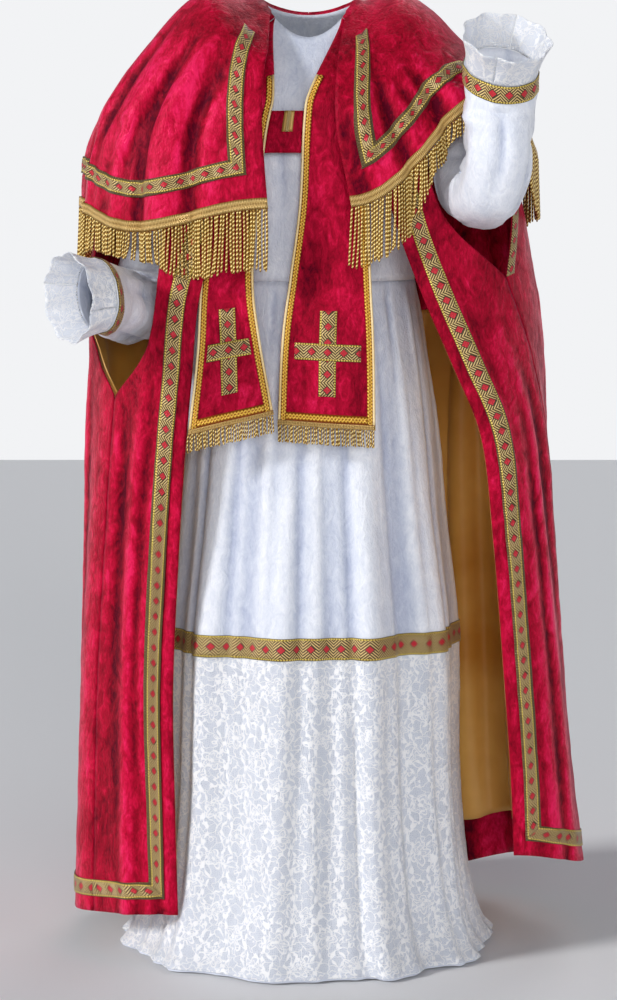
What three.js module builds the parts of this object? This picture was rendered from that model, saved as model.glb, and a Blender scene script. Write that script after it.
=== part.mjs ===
import * as THREE from "three";

// Driving sizes in millimetres. Heights are taken from the floor, +X is on the
// viewer's right, and the front of the costume faces -Y.
const HOLD_HEIGHT = 1480;
const WAIST_HEIGHT = 1091;
const SEAM = 0.35;

// Cloth and trimming thicknesses.
const VELVET = 2;
const ALB_CLOTH = 1.6;
const LINING_CLOTH = 1;
const UNDERSKIRT_CLOTH = 1;
const LACE_CLOTH = 1;
const BRAID = 1.2;
const GIMP = 2.4;
const FRINGE_TAPE = 2.6;

// Trimming widths.
const BRAID_WIDTH = 27;
const SEAM_BAND = 35;
const GIMP_WIDTH = 13;
const FRINGE_HEAD = 19;

// Steps round half a section, and the small steps by which surfaces are measured.
const SECTION_STEPS = 56;
const NUDGE = 0.004;
const HEM_STEP = 0.01;

const CLOTHS = {
  crimsonVelvet: { color: 0xa8102f, roughness: 0.5, metalness: 0 },
  whiteVelvet: { color: 0xe6e9f2, roughness: 0.5, metalness: 0 },
  goldBraid: { color: 0x8a7340, roughness: 0.45, metalness: 0.4 },
  goldFringe: { color: 0xc9a24a, roughness: 0.35, metalness: 0.7 },
  ochreSatin: { color: 0xc08536, roughness: 0.4, metalness: 0 },
  whiteLace: { color: 0xf2f3f7, roughness: 0.8, metalness: 0 },
  whiteCotton: { color: 0xe9ebf0, roughness: 0.7, metalness: 0 },
  goldGimp: { color: 0xe0a83a, roughness: 0.4, metalness: 0.5 },
};

// A number between two others, and a soft step from 0 to 1.
const mix = (from, to, share) => from + (to - from) * share;
const clamp01 = (value) => Math.min(Math.max(value, 0), 1);
const softStep = (value) => {
  const t = clamp01(value);
  return t * t * (3 - 2 * t);
};

// Reads a named column of a table between its rows, on a smooth curve through them.
function read(rows, column, at) {
  const last = rows.length - 1;
  const place = Math.min(Math.max(at, rows[0].at), rows[last].at);
  let k = 0;
  while (k < last - 1 && place > rows[k + 1].at) k += 1;
  const slope = (row) => {
    const before = rows[Math.max(row - 1, 0)];
    const after = rows[Math.min(row + 1, last)];
    return (after[column] - before[column]) / (after.at - before.at);
  };
  const span = rows[k + 1].at - rows[k].at;
  const t = (place - rows[k].at) / span;
  const start = rows[k][column];
  const rise = rows[k + 1][column] - start;
  const enter = slope(k) * span - rise;
  const leave = -slope(k + 1) * span + rise;
  return start + t * rise + t * (1 - t) * ((1 - t) * enter + t * leave);
}

// Opens out the rows of a garment's table: each level gives its front edge [x, y, z], its
// side [x, y, z] and its back centre [y, z]. `square` is 2 for an ellipse and more for a
// squarer section, and `arch` lifts the middle of the front.
const levels = (rows) =>
  rows.map(({ at, edge, side, back, arch = 0, square = 2 }) => ({
    at,
    edgeX: edge[0],
    edgeY: edge[1],
    edgeZ: edge[2],
    sideX: side[0],
    sideY: side[1],
    sideZ: side[2],
    backY: back[0],
    backZ: back[1],
    arch,
    square,
  }));

// One level round half the body: from the front edge to the side, then to the back
// centre, with the length gone at each point.
function halfSection(rows, at) {
  const level = {};
  for (const column of Object.keys(rows[0])) level[column] = read(rows, column, at);
  const points = [];
  const gone = [0];
  for (let k = 0; k <= SECTION_STEPS; k += 1) {
    const turn = (2 * k) / SECTION_STEPS;
    const angle = (Math.PI / 2) * (turn <= 1 ? turn : turn - 1);
    const across = Math.sin(angle) ** (2 / level.square);
    const along = Math.cos(angle) ** (2 / level.square);
    const lift = Math.sin(angle) ** 2;
    const arch = level.arch * Math.sin(2 * angle) ** 2;
    const point =
      turn <= 1
        ? new THREE.Vector3(
            level.edgeX + (level.sideX - level.edgeX) * across,
            level.sideY + (level.edgeY - level.sideY) * along,
            mix(level.edgeZ, level.sideZ, lift) + arch,
          )
        : new THREE.Vector3(
            level.sideX * along,
            level.sideY + (level.backY - level.sideY) * across,
            mix(level.sideZ, level.backZ, lift),
          );
    points.push(point);
    if (k > 0) gone.push(gone[k - 1] + point.distanceTo(points[k - 1]));
  }
  return { points, gone, length: gone[SECTION_STEPS] };
}

// How far the folds of a table stand out at a place: `at` is the place round the body,
// -1 to 1 with the front at 0. Each fold fades in between `from` and `full`, and one with
// an `end` has died away again there.
function foldDepth(folds, around, at) {
  let depth = 0;
  for (const fold of folds) {
    const away = Math.abs(((((around - fold.around + 1) % 2) + 2) % 2) - 1) / fold.wide;
    if (away < 1) {
      const rise = softStep((at - fold.from) / (fold.full - fold.from));
      const fall = fold.end ? softStep((fold.end - at) / (fold.end - fold.full)) : 1;
      depth += fold.deep * rise * fall * Math.cos((Math.PI / 2) * away) ** 2;
    }
  }
  return depth;
}

// Half a garment as a surface: share 0 is the front edge and 1 the back centre, `at` 0 the
// top and 1 the hem. `side` is 1 for +X and -1 for -X, and `ease` moves the top rows.
function halfGarment({ rows, side, folds = [], ease = null }) {
  const sections = new Map();
  const sectionAt = (at) => {
    if (!sections.has(at)) sections.set(at, halfSection(rows, at));
    return sections.get(at);
  };
  const place = (share, at) => {
    const { points, gone, length } = sectionAt(at);
    const wanted = share * length;
    let k = 1;
    while (k < SECTION_STEPS && gone[k] < wanted) k += 1;
    const a = points[k - 1];
    const b = points[k];
    const point = a.clone().lerp(b, (wanted - gone[k - 1]) / (gone[k] - gone[k - 1]));
    const run = Math.hypot(b.x - a.x, b.y - a.y);
    const out = foldDepth(folds, side * share, at);
    point.x += ((b.y - a.y) / run) * out;
    point.y -= ((b.x - a.x) / run) * out;
    point.x *= side;
    if (ease) point.add(ease(side * share, at, point));
    return point;
  };
  return { place, lengthAt: (at) => sectionAt(at).length };
}

// Both halves as one surface round the body: 0 to 1 on the +X side from front to back,
// 1 to 2 on the -X side from back to front, and below 0 the -X side's front.
function wholeGarment(right, left) {
  return (around, at) => {
    if (around > 1) return left.place(2 - around, at);
    if (around < 0) return left.place(-around, at);
    return right.place(around, at);
  };
}

// The outward direction of a surface at a place.
function outward(surface, around, at) {
  const top = Math.max(at - NUDGE, 0);
  const low = Math.min(at + NUDGE, 1);
  const across = surface(around + NUDGE, at).sub(surface(around - NUDGE, at));
  const down = surface(around, low).sub(surface(around, top));
  return down.cross(across).normalize();
}

// A grid of points and outward directions: `spots` gives each row's places on a surface.
// The rows in `levelled` have their outward directions laid level, as at a waist seam.
function gridOn(surface, spots, levelled = []) {
  const normals = spots.map((row) => row.map(([around, at]) => outward(surface, around, at)));
  for (const row of levelled) {
    for (const normal of normals[row]) normal.setZ(0).normalize();
  }
  return {
    points: spots.map((row) => row.map(([around, at]) => surface(around, at))),
    normals,
    closed: false,
  };
}

// Part of a grid, so that what lies on a panel is made from the panel's own points.
function partOf(grid, [firstColumn, lastColumn], [firstRow, lastRow]) {
  const cut = (lines) => {
    const kept = lines.slice(firstRow, lastRow + 1);
    return kept.map((row) => row.slice(firstColumn, lastColumn + 1));
  };
  return { points: cut(grid.points), normals: cut(grid.normals), closed: false };
}

// What a cell of a grid is: cloth, left open, or cloth with a lozenge gap cut through it.
const CLOTH = "cloth";
const OPEN = "open";
const EYELET = "eyelet";
const EYELET_SHARE = 0.3;

// A wall of cloth on a grid of points, closed all round: its inner face lies `lift` off the
// points and its outer face `thick` further out. `lift` may differ from row to row.
function wallOn(grid, { thick, lift = 0, cell = () => CLOTH }) {
  const { points, normals, closed } = grid;
  const rows = points.length - 1;
  const columns = closed ? points[0].length : points[0].length - 1;
  const liftAt = typeof lift === "function" ? lift : () => lift;
  const positions = [];
  const faces = [];
  const add = (point) => positions.push(point.x, point.y, point.z) / 3 - 1;
  const corner = (i, j, out) => {
    const column = i % points[0].length;
    const off = liftAt(i, j) + (out ? thick : 0);
    return points[j][column].clone().addScaledVector(normals[j][column], off);
  };
  const ids = new Map();
  const vertex = (i, j, out) => {
    const key = `${i % points[0].length},${j},${out}`;
    if (!ids.has(key)) ids.set(key, add(corner(i, j, out)));
    return ids.get(key);
  };
  const quad = (a, b, c, d) => faces.push(a, b, c, a, c, d);
  const kindAt = (i, j) => {
    if (j < 0 || j >= rows) return OPEN;
    if (closed) return cell((i + columns) % columns, j);
    return i < 0 || i >= columns ? OPEN : cell(i, j);
  };
  const around = (i, j) => [[i, j], [i + 1, j], [i + 1, j + 1], [i, j + 1]];
  const eyelet = (i, j, out) => {
    const corners = around(i, j).map(([column, row]) => corner(column, row, out));
    const centre = corners.reduce((sum, p) => sum.add(p), new THREE.Vector3()).divideScalar(4);
    return corners.map((p, k) => {
      const edge = p.clone().add(corners[(k + 1) % 4]).divideScalar(2);
      return add(centre.clone().lerp(edge, 2 * EYELET_SHARE));
    });
  };
  for (let j = 0; j < rows; j += 1) {
    for (let i = 0; i < columns; i += 1) {
      const kind = kindAt(i, j);
      if (kind === OPEN) continue;
      const ring = (out) => around(i, j).map(([column, row]) => vertex(column, row, out));
      const [a, b, c, d] = ring(true);
      const [e, f, g, h] = ring(false);
      if (kind === EYELET) {
        const gaps = [eyelet(i, j, true), eyelet(i, j, false)];
        const frames = [[a, b, c, d], [e, f, g, h]];
        frames.forEach((frame, face) => {
          for (let k = 0; k < 4; k += 1) {
            const next = (k + 1) % 4;
            const upper = [frame[k], gaps[face][k], frame[next]];
            const lower = [frame[next], gaps[face][k], gaps[face][next]];
            for (const triangle of [upper, lower]) {
              faces.push(...(face === 0 ? triangle : triangle.reverse()));
            }
          }
        });
        for (let k = 0; k < 4; k += 1) {
          const next = (k + 1) % 4;
          quad(gaps[0][k], gaps[1][k], gaps[1][next], gaps[0][next]);
        }
      } else {
        quad(a, d, c, b);
        quad(e, f, g, h);
      }
      if (kindAt(i, j - 1) === OPEN) quad(a, b, f, e);
      if (kindAt(i, j + 1) === OPEN) quad(d, h, g, c);
      if (kindAt(i - 1, j) === OPEN) quad(a, e, h, d);
      if (kindAt(i + 1, j) === OPEN) quad(b, c, g, f);
    }
  }
  const geometry = new THREE.BufferGeometry();
  geometry.setAttribute("position", new THREE.Float32BufferAttribute(positions, 3));
  geometry.setIndex(insideOut(positions, faces) ? faces.reverse() : faces);
  geometry.computeVertexNormals();
  return geometry;
}

// Whether a closed set of faces points inwards, told by the sign of its volume.
function insideOut(positions, faces) {
  const at = (k) => new THREE.Vector3().fromArray(positions, 3 * k);
  let volume = 0;
  for (let k = 0; k < faces.length; k += 3) {
    volume += at(faces[k]).dot(at(faces[k + 1]).cross(at(faces[k + 2])));
  }
  return volume < 0;
}

const costume = new THREE.Group();
costume.position.z = -HOLD_HEIGHT;

// Adds one sewn piece to the costume.
function piece(name, cloth, geometry) {
  const mesh = new THREE.Mesh(geometry, new THREE.MeshStandardMaterial(CLOTHS[cloth]));
  mesh.name = name;
  costume.add(mesh);
}

// Evenly spaced numbers from one to another.
function spread(from, to, steps) {
  return Array.from({ length: steps + 1 }, (_, k) => mix(from, to, k / steps));
}

// Alb bodice: neck ring, shoulder slope, chest and waist.
const BODICE = levels([
  { at: 0, edge: [0, -62, 1478], side: [72, 4, 1535], back: [66, 1520] },
  { at: 0.2, edge: [0, -98, 1430], side: [148, 2, 1492], back: [96, 1480], square: 2.1 },
  { at: 0.36, edge: [0, -120, 1385], side: [190, 0, 1457], back: [116, 1430], square: 2.3 },
  { at: 0.5, edge: [0, -134, 1320], side: [184, 0, 1385], back: [124, 1350], square: 2.4 },
  { at: 0.68, edge: [0, -140, 1230], side: [170, 0, 1270], back: [124, 1250], square: 2.3 },
  {
    at: 1,
    edge: [0, -142, WAIST_HEIGHT],
    side: [172, -12, WAIST_HEIGHT],
    back: [112, WAIST_HEIGHT],
    square: 2.2,
  },
]);
const BODICE_FOLDS = [
  { around: -0.2, wide: 0.1, deep: 5, from: 0.5, full: 0.8, end: 1 },
  { around: 0.12, wide: 0.09, deep: -4, from: 0.45, full: 0.8, end: 1 },
  { around: 0.28, wide: 0.09, deep: 5, from: 0.5, full: 0.8, end: 1 },
  { around: 0.86, wide: 0.1, deep: 5, from: 0.5, full: 0.8, end: 1 },
  { around: -0.82, wide: 0.12, deep: 5, from: 0.5, full: 0.8, end: 1 },
];

// Skirt, from the waist seam to the floor. The hem spreads out where it meets the floor.
const SKIRT = [
  { at: 0, z: WAIST_HEIGHT - SEAM, front: -142, side: 172, back: 112, middle: -12 },
  { at: 0.08, z: 1004, front: -158, side: 186, back: 132, middle: -12 },
  { at: 0.2, z: 874, front: -170, side: 205, back: 150, middle: -14 },
  { at: 0.36, z: 699, front: -192, side: 221, back: 172, middle: -16 },
  { at: 0.53, z: 514, front: -218, side: 242, back: 192, middle: -20 },
  { at: 0.75, z: 274, front: -240, side: 246, back: 212, middle: -22 },
  { at: 0.9, z: 106, front: -268, side: 262, back: 232, middle: -25 },
  { at: 0.97, z: 26, front: -300, side: 284, back: 248, middle: -30 },
  { at: 1, z: 1, front: -322, side: 306, back: 258, middle: -32 },
].map(({ at, z, front, side, back, middle }) => ({
  at,
  edge: [0, front, z],
  side: [side, middle, z],
  back: [back, z],
  square: 2.1,
}));
const SKIRT_FOLDS = [
  { around: -0.44, wide: 0.05, deep: 13, from: 0.02, full: 0.7 },
  { around: -0.34, wide: 0.045, deep: -9, from: 0.05, full: 0.5 },
  { around: -0.25, wide: 0.05, deep: 14, from: 0.02, full: 0.6 },
  { around: -0.15, wide: 0.045, deep: -10, from: 0.1, full: 0.6 },
  { around: -0.06, wide: 0.05, deep: 12, from: 0.1, full: 0.7 },
  { around: 0.05, wide: 0.05, deep: -9, from: 0.02, full: 0.8 },
  { around: 0.14, wide: 0.055, deep: 15, from: 0.02, full: 0.5 },
  { around: 0.24, wide: 0.045, deep: -12, from: 0.02, full: 0.5 },
  { around: 0.33, wide: 0.05, deep: 14, from: 0.05, full: 0.6 },
  { around: 0.43, wide: 0.045, deep: -8, from: 0.1, full: 0.7 },
  { around: 0.56, wide: 0.06, deep: 11, from: 0.05, full: 0.7 },
  { around: 0.68, wide: 0.05, deep: -9, from: 0.05, full: 0.7 },
  { around: 0.79, wide: 0.06, deep: 12, from: 0.02, full: 0.6 },
  { around: 0.91, wide: 0.05, deep: -9, from: 0.1, full: 0.8 },
  { around: -0.97, wide: 0.06, deep: 12, from: 0.05, full: 0.7 },
  { around: -0.85, wide: 0.05, deep: -10, from: 0.05, full: 0.6 },
  { around: -0.73, wide: 0.06, deep: 13, from: 0.05, full: 0.7 },
  { around: -0.6, wide: 0.05, deep: -8, from: 0.1, full: 0.8 },
];

// A closed garment whose two halves share one table.
function tube(rows, folds) {
  const [right, left] = [1, -1].map((side) => halfGarment({ rows, side, folds }));
  const surface = wholeGarment(right, left);
  return { surface, halfLength: (at) => right.lengthAt(at) };
}
const bodice = tube(BODICE, BODICE_FOLDS);
const skirt = tube(levels(SKIRT), SKIRT_FOLDS);

// A front or back panel's places: rows down and columns between its side seams.
function panelSpots(halfLength, start, end, columnShares, rows) {
  return rows.map((at) => {
    const gap = SEAM / halfLength(at);
    return columnShares.map((share, k) => {
      const around = mix(start, end, share);
      if (k === 0) return [around + gap, at];
      if (k === columnShares.length - 1) return [around - gap, at];
      return [around, at];
    });
  });
}
const HALVES = { front: [-0.5, 0.5], back: [0.5, 1.5] };

// The armhole is three rows tall and two columns wide on each panel.
const BODICE_COLUMNS = [0, 0.055, 0.11, 0.2, 0.3, 0.4, 0.5, 0.6, 0.7, 0.8, 0.89, 0.945, 1];
const BODICE_ROWS = [0, 0.12, 0.24, 0.365, 0.45, 0.54, 0.62, 0.8, 1];
const ARMHOLE = { columns: 2, firstRow: 3, lastRow: 6 };
const bodiceGrids = {};
for (const [half, [start, end]] of Object.entries(HALVES)) {
  const spots = panelSpots(bodice.halfLength, start, end, BODICE_COLUMNS, BODICE_ROWS);
  bodiceGrids[half] = gridOn(bodice.surface, spots, [BODICE_ROWS.length - 1]);
  const last = BODICE_COLUMNS.length - 1 - ARMHOLE.columns;
  const cell = (i, j) => {
    const beside = i < ARMHOLE.columns || i >= last;
    return beside && j >= ARMHOLE.firstRow && j < ARMHOLE.lastRow ? OPEN : CLOTH;
  };
  piece(`alb_bodice_${half}`, "whiteVelvet", wallOn(bodiceGrids[half], { thick: ALB_CLOTH, cell }));
}

// Skirt panels down to the band's seam, and the lace flounce with its underskirt below.
const SKIRT_STEPS = 16;
const BAND_AT = 0.532;
const bandHalf = SEAM_BAND / 2 / WAIST_HEIGHT;
const seamShare = SEAM / WAIST_HEIGHT;
const skirtShares = spread(0, 1, SKIRT_STEPS);
const skirtRows = [0, 0.06, 0.16, 0.32, BAND_AT - bandHalf, BAND_AT - seamShare];
const laceRows = [BAND_AT + seamShare, BAND_AT + bandHalf, 0.63, 0.72, 0.81, 0.9, 0.985];
const underskirtRows = [BAND_AT - bandHalf, BAND_AT + bandHalf, 0.72, 0.81, 0.9, 0.985, 1];
const UNDERSKIRT_LIFT = -6;

// Lace gaps: one lozenge in every other cell, in a half-drop repeat.
const laceCell = (i, j) => (j > 1 && (i + j) % 2 === 0 ? EYELET : CLOTH);

for (const [half, [start, end]] of Object.entries(HALVES)) {
  const spotsOf = (rows) => panelSpots(skirt.halfLength, start, end, skirtShares, rows);
  const grid = (rows, levelled = []) => gridOn(skirt.surface, spotsOf(rows), levelled);
  piece(`alb_skirt_${half}`, "whiteVelvet", wallOn(grid(skirtRows, [0]), { thick: ALB_CLOTH }));
  const flounce = wallOn(grid(laceRows), { thick: LACE_CLOTH, cell: laceCell });
  piece(`lace_flounce_${half}`, "whiteLace", flounce);
  const lift = (i, j) => (j === 0 ? -UNDERSKIRT_CLOTH - SEAM : UNDERSKIRT_LIFT);
  const underskirt = wallOn(grid(underskirtRows), { thick: UNDERSKIRT_CLOTH, lift });
  piece(`underskirt_${half}`, "whiteCotton", underskirt);
  const bandRows = [BAND_AT - bandHalf, BAND_AT, BAND_AT + bandHalf];
  const band = wallOn(grid(bandRows), { thick: BRAID, lift: ALB_CLOTH + SEAM });
  piece(`skirt_band_${half}`, "goldBraid", band);
}

// The arms: a straight upper arm and forearm with a round bend between them. The +X arm is
// raised, the -X one reaches forward, and each cuff faces its own way.
const ARMS = {
  raised: {
    side: 1,
    shoulder: [220, -16, 1376],
    elbow: [292, -235, 1108],
    wrist: [298, -222, 1425],
    bend: 66,
    cuffFacing: [0.12, -0.55, 0.8],
  },
  lowered: {
    side: -1,
    shoulder: [-222, -2, 1380],
    elbow: [-266, 14, 1030],
    wrist: [-326, -262, 1074],
    bend: 72,
    cuffFacing: [-0.8, -0.6, -0.05],
  },
};
const SLEEVE_WIDTHS = [
  { at: 0, wide: 54 },
  { at: 0.12, wide: 51 },
  { at: 0.4, wide: 52 },
  { at: 0.6, wide: 56 },
  { at: 0.8, wide: 56 },
  { at: 1, wide: 56 },
];
const CUFF_LACE = [
  { at: 0, wide: 56 },
  { at: 0.5, wide: 60 },
  { at: 1, wide: 68 },
];
const CUFF_LACE_LENGTH = 54;
// Where the rings lie down the upper arm and forearm, and where the cuff's turn takes place.
const UPPER_ARM_RINGS = [0.35, 0.7];
const ELBOW_STEPS = 4;
const FOREARM_RING = 0.45;
const CUFF_TURN = { from: 0.1, full: 0.85 };
const LOOP_POINTS = 2 * (2 * ARMHOLE.columns + (ARMHOLE.lastRow - ARMHOLE.firstRow));

// The centres along an arm and the way it runs at each: straight, round the bend, straight.
function armLine({ side, shoulder, elbow, wrist, bend, cuffFacing }) {
  const [from, corner, to] = [shoulder, elbow, wrist].map((p) => new THREE.Vector3(...p));
  const up = from.clone().sub(corner).normalize();
  const on = to.clone().sub(corner).normalize();
  const half = up.angleTo(on) / 2;
  const enter = corner.clone().addScaledVector(up, bend / Math.tan(half));
  const leave = corner.clone().addScaledVector(on, bend / Math.tan(half));
  const middle = corner.clone().addScaledVector(up.clone().add(on).normalize(), bend / Math.sin(half));
  const outOfArmhole = new THREE.Vector3(side, 0, 0).sub(up).normalize();
  const line = [{ centre: from, along: outOfArmhole }];
  const down = up.clone().negate();
  for (const share of UPPER_ARM_RINGS) {
    line.push({ centre: from.clone().lerp(enter, share), along: down });
  }
  const turn = Math.PI - 2 * half;
  for (const share of spread(0, 1, ELBOW_STEPS)) {
    const [a, b] = [enter, leave].map((p) => p.clone().sub(middle).divideScalar(bend));
    const spoke = a.multiplyScalar(Math.sin((1 - share) * turn)).addScaledVector(b, Math.sin(share * turn));
    spoke.divideScalar(Math.sin(turn));
    const along = down.clone().lerp(on, share).normalize();
    line.push({ centre: middle.clone().addScaledVector(spoke, bend), along });
  }
  const facing = new THREE.Vector3(...cuffFacing).normalize();
  const length = leave.distanceTo(to);
  for (const share of [FOREARM_RING, 1 - BRAID_WIDTH / length, 1]) {
    const turned = softStep((share - CUFF_TURN.from) / (CUFF_TURN.full - CUFF_TURN.from));
    const along = on.clone().lerp(facing, turned).normalize();
    line.push({ centre: leave.clone().lerp(to, share), along });
  }
  return line;
}

// Rings for a tube along such a line. Each keeps its top and front by the least turn.
function ringsAlong(line, start, widths) {
  let { along, top, front } = start;
  const gone = [0];
  line.forEach((stop, k) => {
    if (k > 0) gone.push(gone[k - 1] + stop.centre.distanceTo(line[k - 1].centre));
  });
  return line.map((stop, k) => {
    const turn = new THREE.Quaternion().setFromUnitVectors(along, stop.along);
    along = stop.along;
    top = top.clone().applyQuaternion(turn);
    front = front.clone().applyQuaternion(turn);
    const wide = read(widths, "wide", gone[k] / gone[line.length - 1]);
    return { centre: stop.centre, along, top, front, wide };
  });
}
function ringGrid(rings, turns, closed) {
  const spoke = (ring, turn) =>
    ring.top.clone().multiplyScalar(Math.cos(turn)).addScaledVector(ring.front, Math.sin(turn));
  const rim = (ring, turn) => ring.centre.clone().addScaledVector(spoke(ring, turn), ring.wide);
  return {
    points: rings.map((ring) => turns.map((turn) => rim(ring, turn))),
    normals: rings.map((ring) => turns.map((turn) => spoke(ring, turn))),
    closed,
  };
}

// The armhole's edge, from the shoulder seam down the front and up the back.
function armholeLoop(side) {
  const last = BODICE_COLUMNS.length - 1;
  const { columns, firstRow, lastRow } = ARMHOLE;
  const places = [];
  const put = (half, inset, row) => {
    const fromStart = (half === "back") === (side === 1);
    places.push([bodiceGrids[half], fromStart ? inset : last - inset, row]);
  };
  for (let k = 0; k < columns; k += 1) put("front", k, firstRow);
  for (let row = firstRow; row < lastRow; row += 1) put("front", columns, row);
  for (let k = columns; k >= 0; k -= 1) put("front", k, lastRow);
  for (let k = 1; k < columns; k += 1) put("back", k, lastRow);
  for (let row = lastRow; row > firstRow; row -= 1) put("back", columns, row);
  for (let k = columns; k > 0; k -= 1) put("back", k, firstRow);
  return places.map(([grid, i, j]) =>
    grid.points[j][i].clone().addScaledVector(grid.normals[j][i], ALB_CLOTH + SEAM),
  );
}

const turns = spread(0, 2 * Math.PI, LOOP_POINTS).slice(0, -1);
for (const [name, arm] of Object.entries(ARMS)) {
  const line = armLine(arm);
  const start = {
    along: new THREE.Vector3(arm.side, 0, 0),
    top: new THREE.Vector3(0, 0, 1),
    front: new THREE.Vector3(0, -1, 0),
  };
  const rings = ringsAlong(line, start, SLEEVE_WIDTHS);
  const grid = ringGrid(rings, turns, true);
  const loop = armholeLoop(arm.side);
  const middle = loop.reduce((sum, p) => sum.add(p), new THREE.Vector3()).divideScalar(loop.length);
  grid.points.unshift(loop);
  grid.normals.unshift(loop.map((p) => p.clone().sub(middle).setX(0).normalize()));
  piece(`sleeve_${name}`, "whiteVelvet", wallOn(grid, { thick: ALB_CLOTH }));

  const lastRow = grid.points.length - 1;
  const cuff = {
    points: grid.points.slice(lastRow - 1),
    normals: grid.normals.slice(lastRow - 1),
    closed: true,
  };
  piece(`cuff_braid_${name}`, "goldBraid", wallOn(cuff, { thick: BRAID, lift: ALB_CLOTH + SEAM }));

  const wrist = rings[rings.length - 1];
  const laceRings = spread(0, 1, 2).map((share) => ({
    ...wrist,
    centre: wrist.centre.clone().addScaledVector(wrist.along, 2 * SEAM + share * CUFF_LACE_LENGTH),
    wide: read(CUFF_LACE, "wide", share),
  }));
  const gap = SEAM / wrist.wide;
  for (const [half, first] of [["outer", 0], ["inner", Math.PI]]) {
    const laceTurns = spread(first + gap, first + Math.PI - gap, LOOP_POINTS / 2);
    const lace = wallOn(ringGrid(laceRings, laceTurns, false), {
      thick: LACE_CLOTH,
      cell: (i, j) => ((i + j) % 2 === 0 ? EYELET : CLOTH),
    });
    piece(`cuff_lace_${name}_${half}`, "whiteLace", lace);
  }
}

// Cape, from the neck to the hem. The +X half is held out by the raised arm, and the back
// of the hem trails on the floor.
const CAPE = {
  right: [
    { at: 0, edge: [58, -88, 1478], side: [84, 2, 1545], back: [80, 1532] },
    { at: 0.06, edge: [72, -130, 1440], side: [165, 0, 1521], back: [118, 1495] },
    { at: 0.13, edge: [88, -160, 1380], side: [228, -4, 1470], back: [150, 1430] },
    { at: 0.22, edge: [112, -176, 1280], side: [305, -6, 1368], back: [178, 1325] },
    { at: 0.3, edge: [138, -184, 1180], side: [338, -8, 1250], back: [198, 1215] },
    { at: 0.38, edge: [176, -190, 1078], side: [362, -5, 1130], back: [215, 1100] },
    { at: 0.46, edge: [225, -190, 965], side: [382, 0, 1015], back: [232, 975] },
    { at: 0.55, edge: [272, -186, 850], side: [392, 0, 885], back: [250, 850] },
    { at: 0.66, edge: [293, -176, 690], side: [402, 0, 715], back: [275, 680] },
    { at: 0.78, edge: [311, -166, 490], side: [420, 0, 500], back: [300, 460] },
    { at: 0.9, edge: [326, -156, 300], side: [440, 0, 285], back: [325, 200] },
    { at: 1, edge: [333, -150, 163], side: [461, 0, 126], back: [345, 4] },
  ],
  left: [
    { at: 0, edge: [58, -88, 1478], side: [84, 2, 1545], back: [80, 1532] },
    { at: 0.06, edge: [72, -130, 1440], side: [165, 0, 1521], back: [118, 1495] },
    { at: 0.13, edge: [90, -158, 1380], side: [232, -4, 1472], back: [150, 1430] },
    { at: 0.22, edge: [112, -172, 1280], side: [308, -6, 1372], back: [178, 1325] },
    { at: 0.3, edge: [140, -180, 1180], side: [339, -8, 1250], back: [198, 1215] },
    { at: 0.38, edge: [172, -185, 1065], side: [352, -8, 1125], back: [215, 1100] },
    { at: 0.46, edge: [184, -186, 940], side: [358, -5, 1005], back: [232, 975] },
    { at: 0.55, edge: [195, -187, 820], side: [362, 0, 870], back: [250, 850] },
    { at: 0.66, edge: [206, -190, 655], side: [365, 0, 690], back: [275, 680] },
    { at: 0.78, edge: [216, -194, 440], side: [374, 0, 465], back: [300, 460] },
    { at: 0.9, edge: [213, -204, 240], side: [384, 0, 235], back: [325, 200] },
    { at: 1, edge: [209, -216, 81], side: [389, -10, 62], back: [345, 4] },
  ],
};
const CAPE_FOLDS = [
  { around: 0.12, wide: 0.08, deep: 10, from: 0.4, full: 0.8 },
  { around: 0.27, wide: 0.07, deep: -12, from: 0.38, full: 0.7 },
  { around: 0.42, wide: 0.08, deep: 14, from: 0.3, full: 0.8 },
  { around: 0.58, wide: 0.08, deep: 20, from: 0.2, full: 0.8 },
  { around: 0.7, wide: 0.06, deep: -12, from: 0.3, full: 0.8 },
  { around: 0.83, wide: 0.08, deep: 22, from: 0.15, full: 0.8 },
  { around: 0.95, wide: 0.06, deep: -12, from: 0.2, full: 0.9 },
  { around: -0.93, wide: 0.08, deep: 20, from: 0.15, full: 0.8 },
  { around: -0.8, wide: 0.06, deep: -12, from: 0.3, full: 0.8 },
  { around: -0.67, wide: 0.08, deep: 22, from: 0.2, full: 0.8 },
  { around: -0.52, wide: 0.07, deep: 14, from: 0.25, full: 0.8 },
  { around: -0.36, wide: 0.08, deep: -12, from: 0.42, full: 0.75 },
  { around: -0.22, wide: 0.08, deep: 12, from: 0.42, full: 0.8 },
];

// The arm slits: shares of the half-length where the front panel ends and the back panel
// starts. Below the slit the two are sewn together.
const CAPE_SEAM = { right: 0.2, left: 0.178 };
const SLITS = {
  right: [
    { at: 0.12, front: 0.2, back: 0.2 },
    { at: 0.165, front: 0.12, back: 0.29 },
    { at: 0.24, front: 0.1, back: 0.345 },
    { at: 0.31, front: 0.115, back: 0.31 },
    { at: 0.385, front: 0.2, back: 0.2 },
  ],
  left: [
    { at: 0.12, front: 0.178, back: 0.178 },
    { at: 0.24, front: 0.16, back: 0.2 },
    { at: 0.34, front: 0.105, back: 0.3 },
    { at: 0.43, front: 0.1, back: 0.34 },
    { at: 0.505, front: 0.178, back: 0.178 },
  ],
};
function slitEdge(side, edge, at) {
  const rows = SLITS[side];
  const inSlit = at > rows[0].at && at < rows[rows.length - 1].at;
  return inSlit ? read(rows, edge, at) : CAPE_SEAM[side];
}

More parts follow.
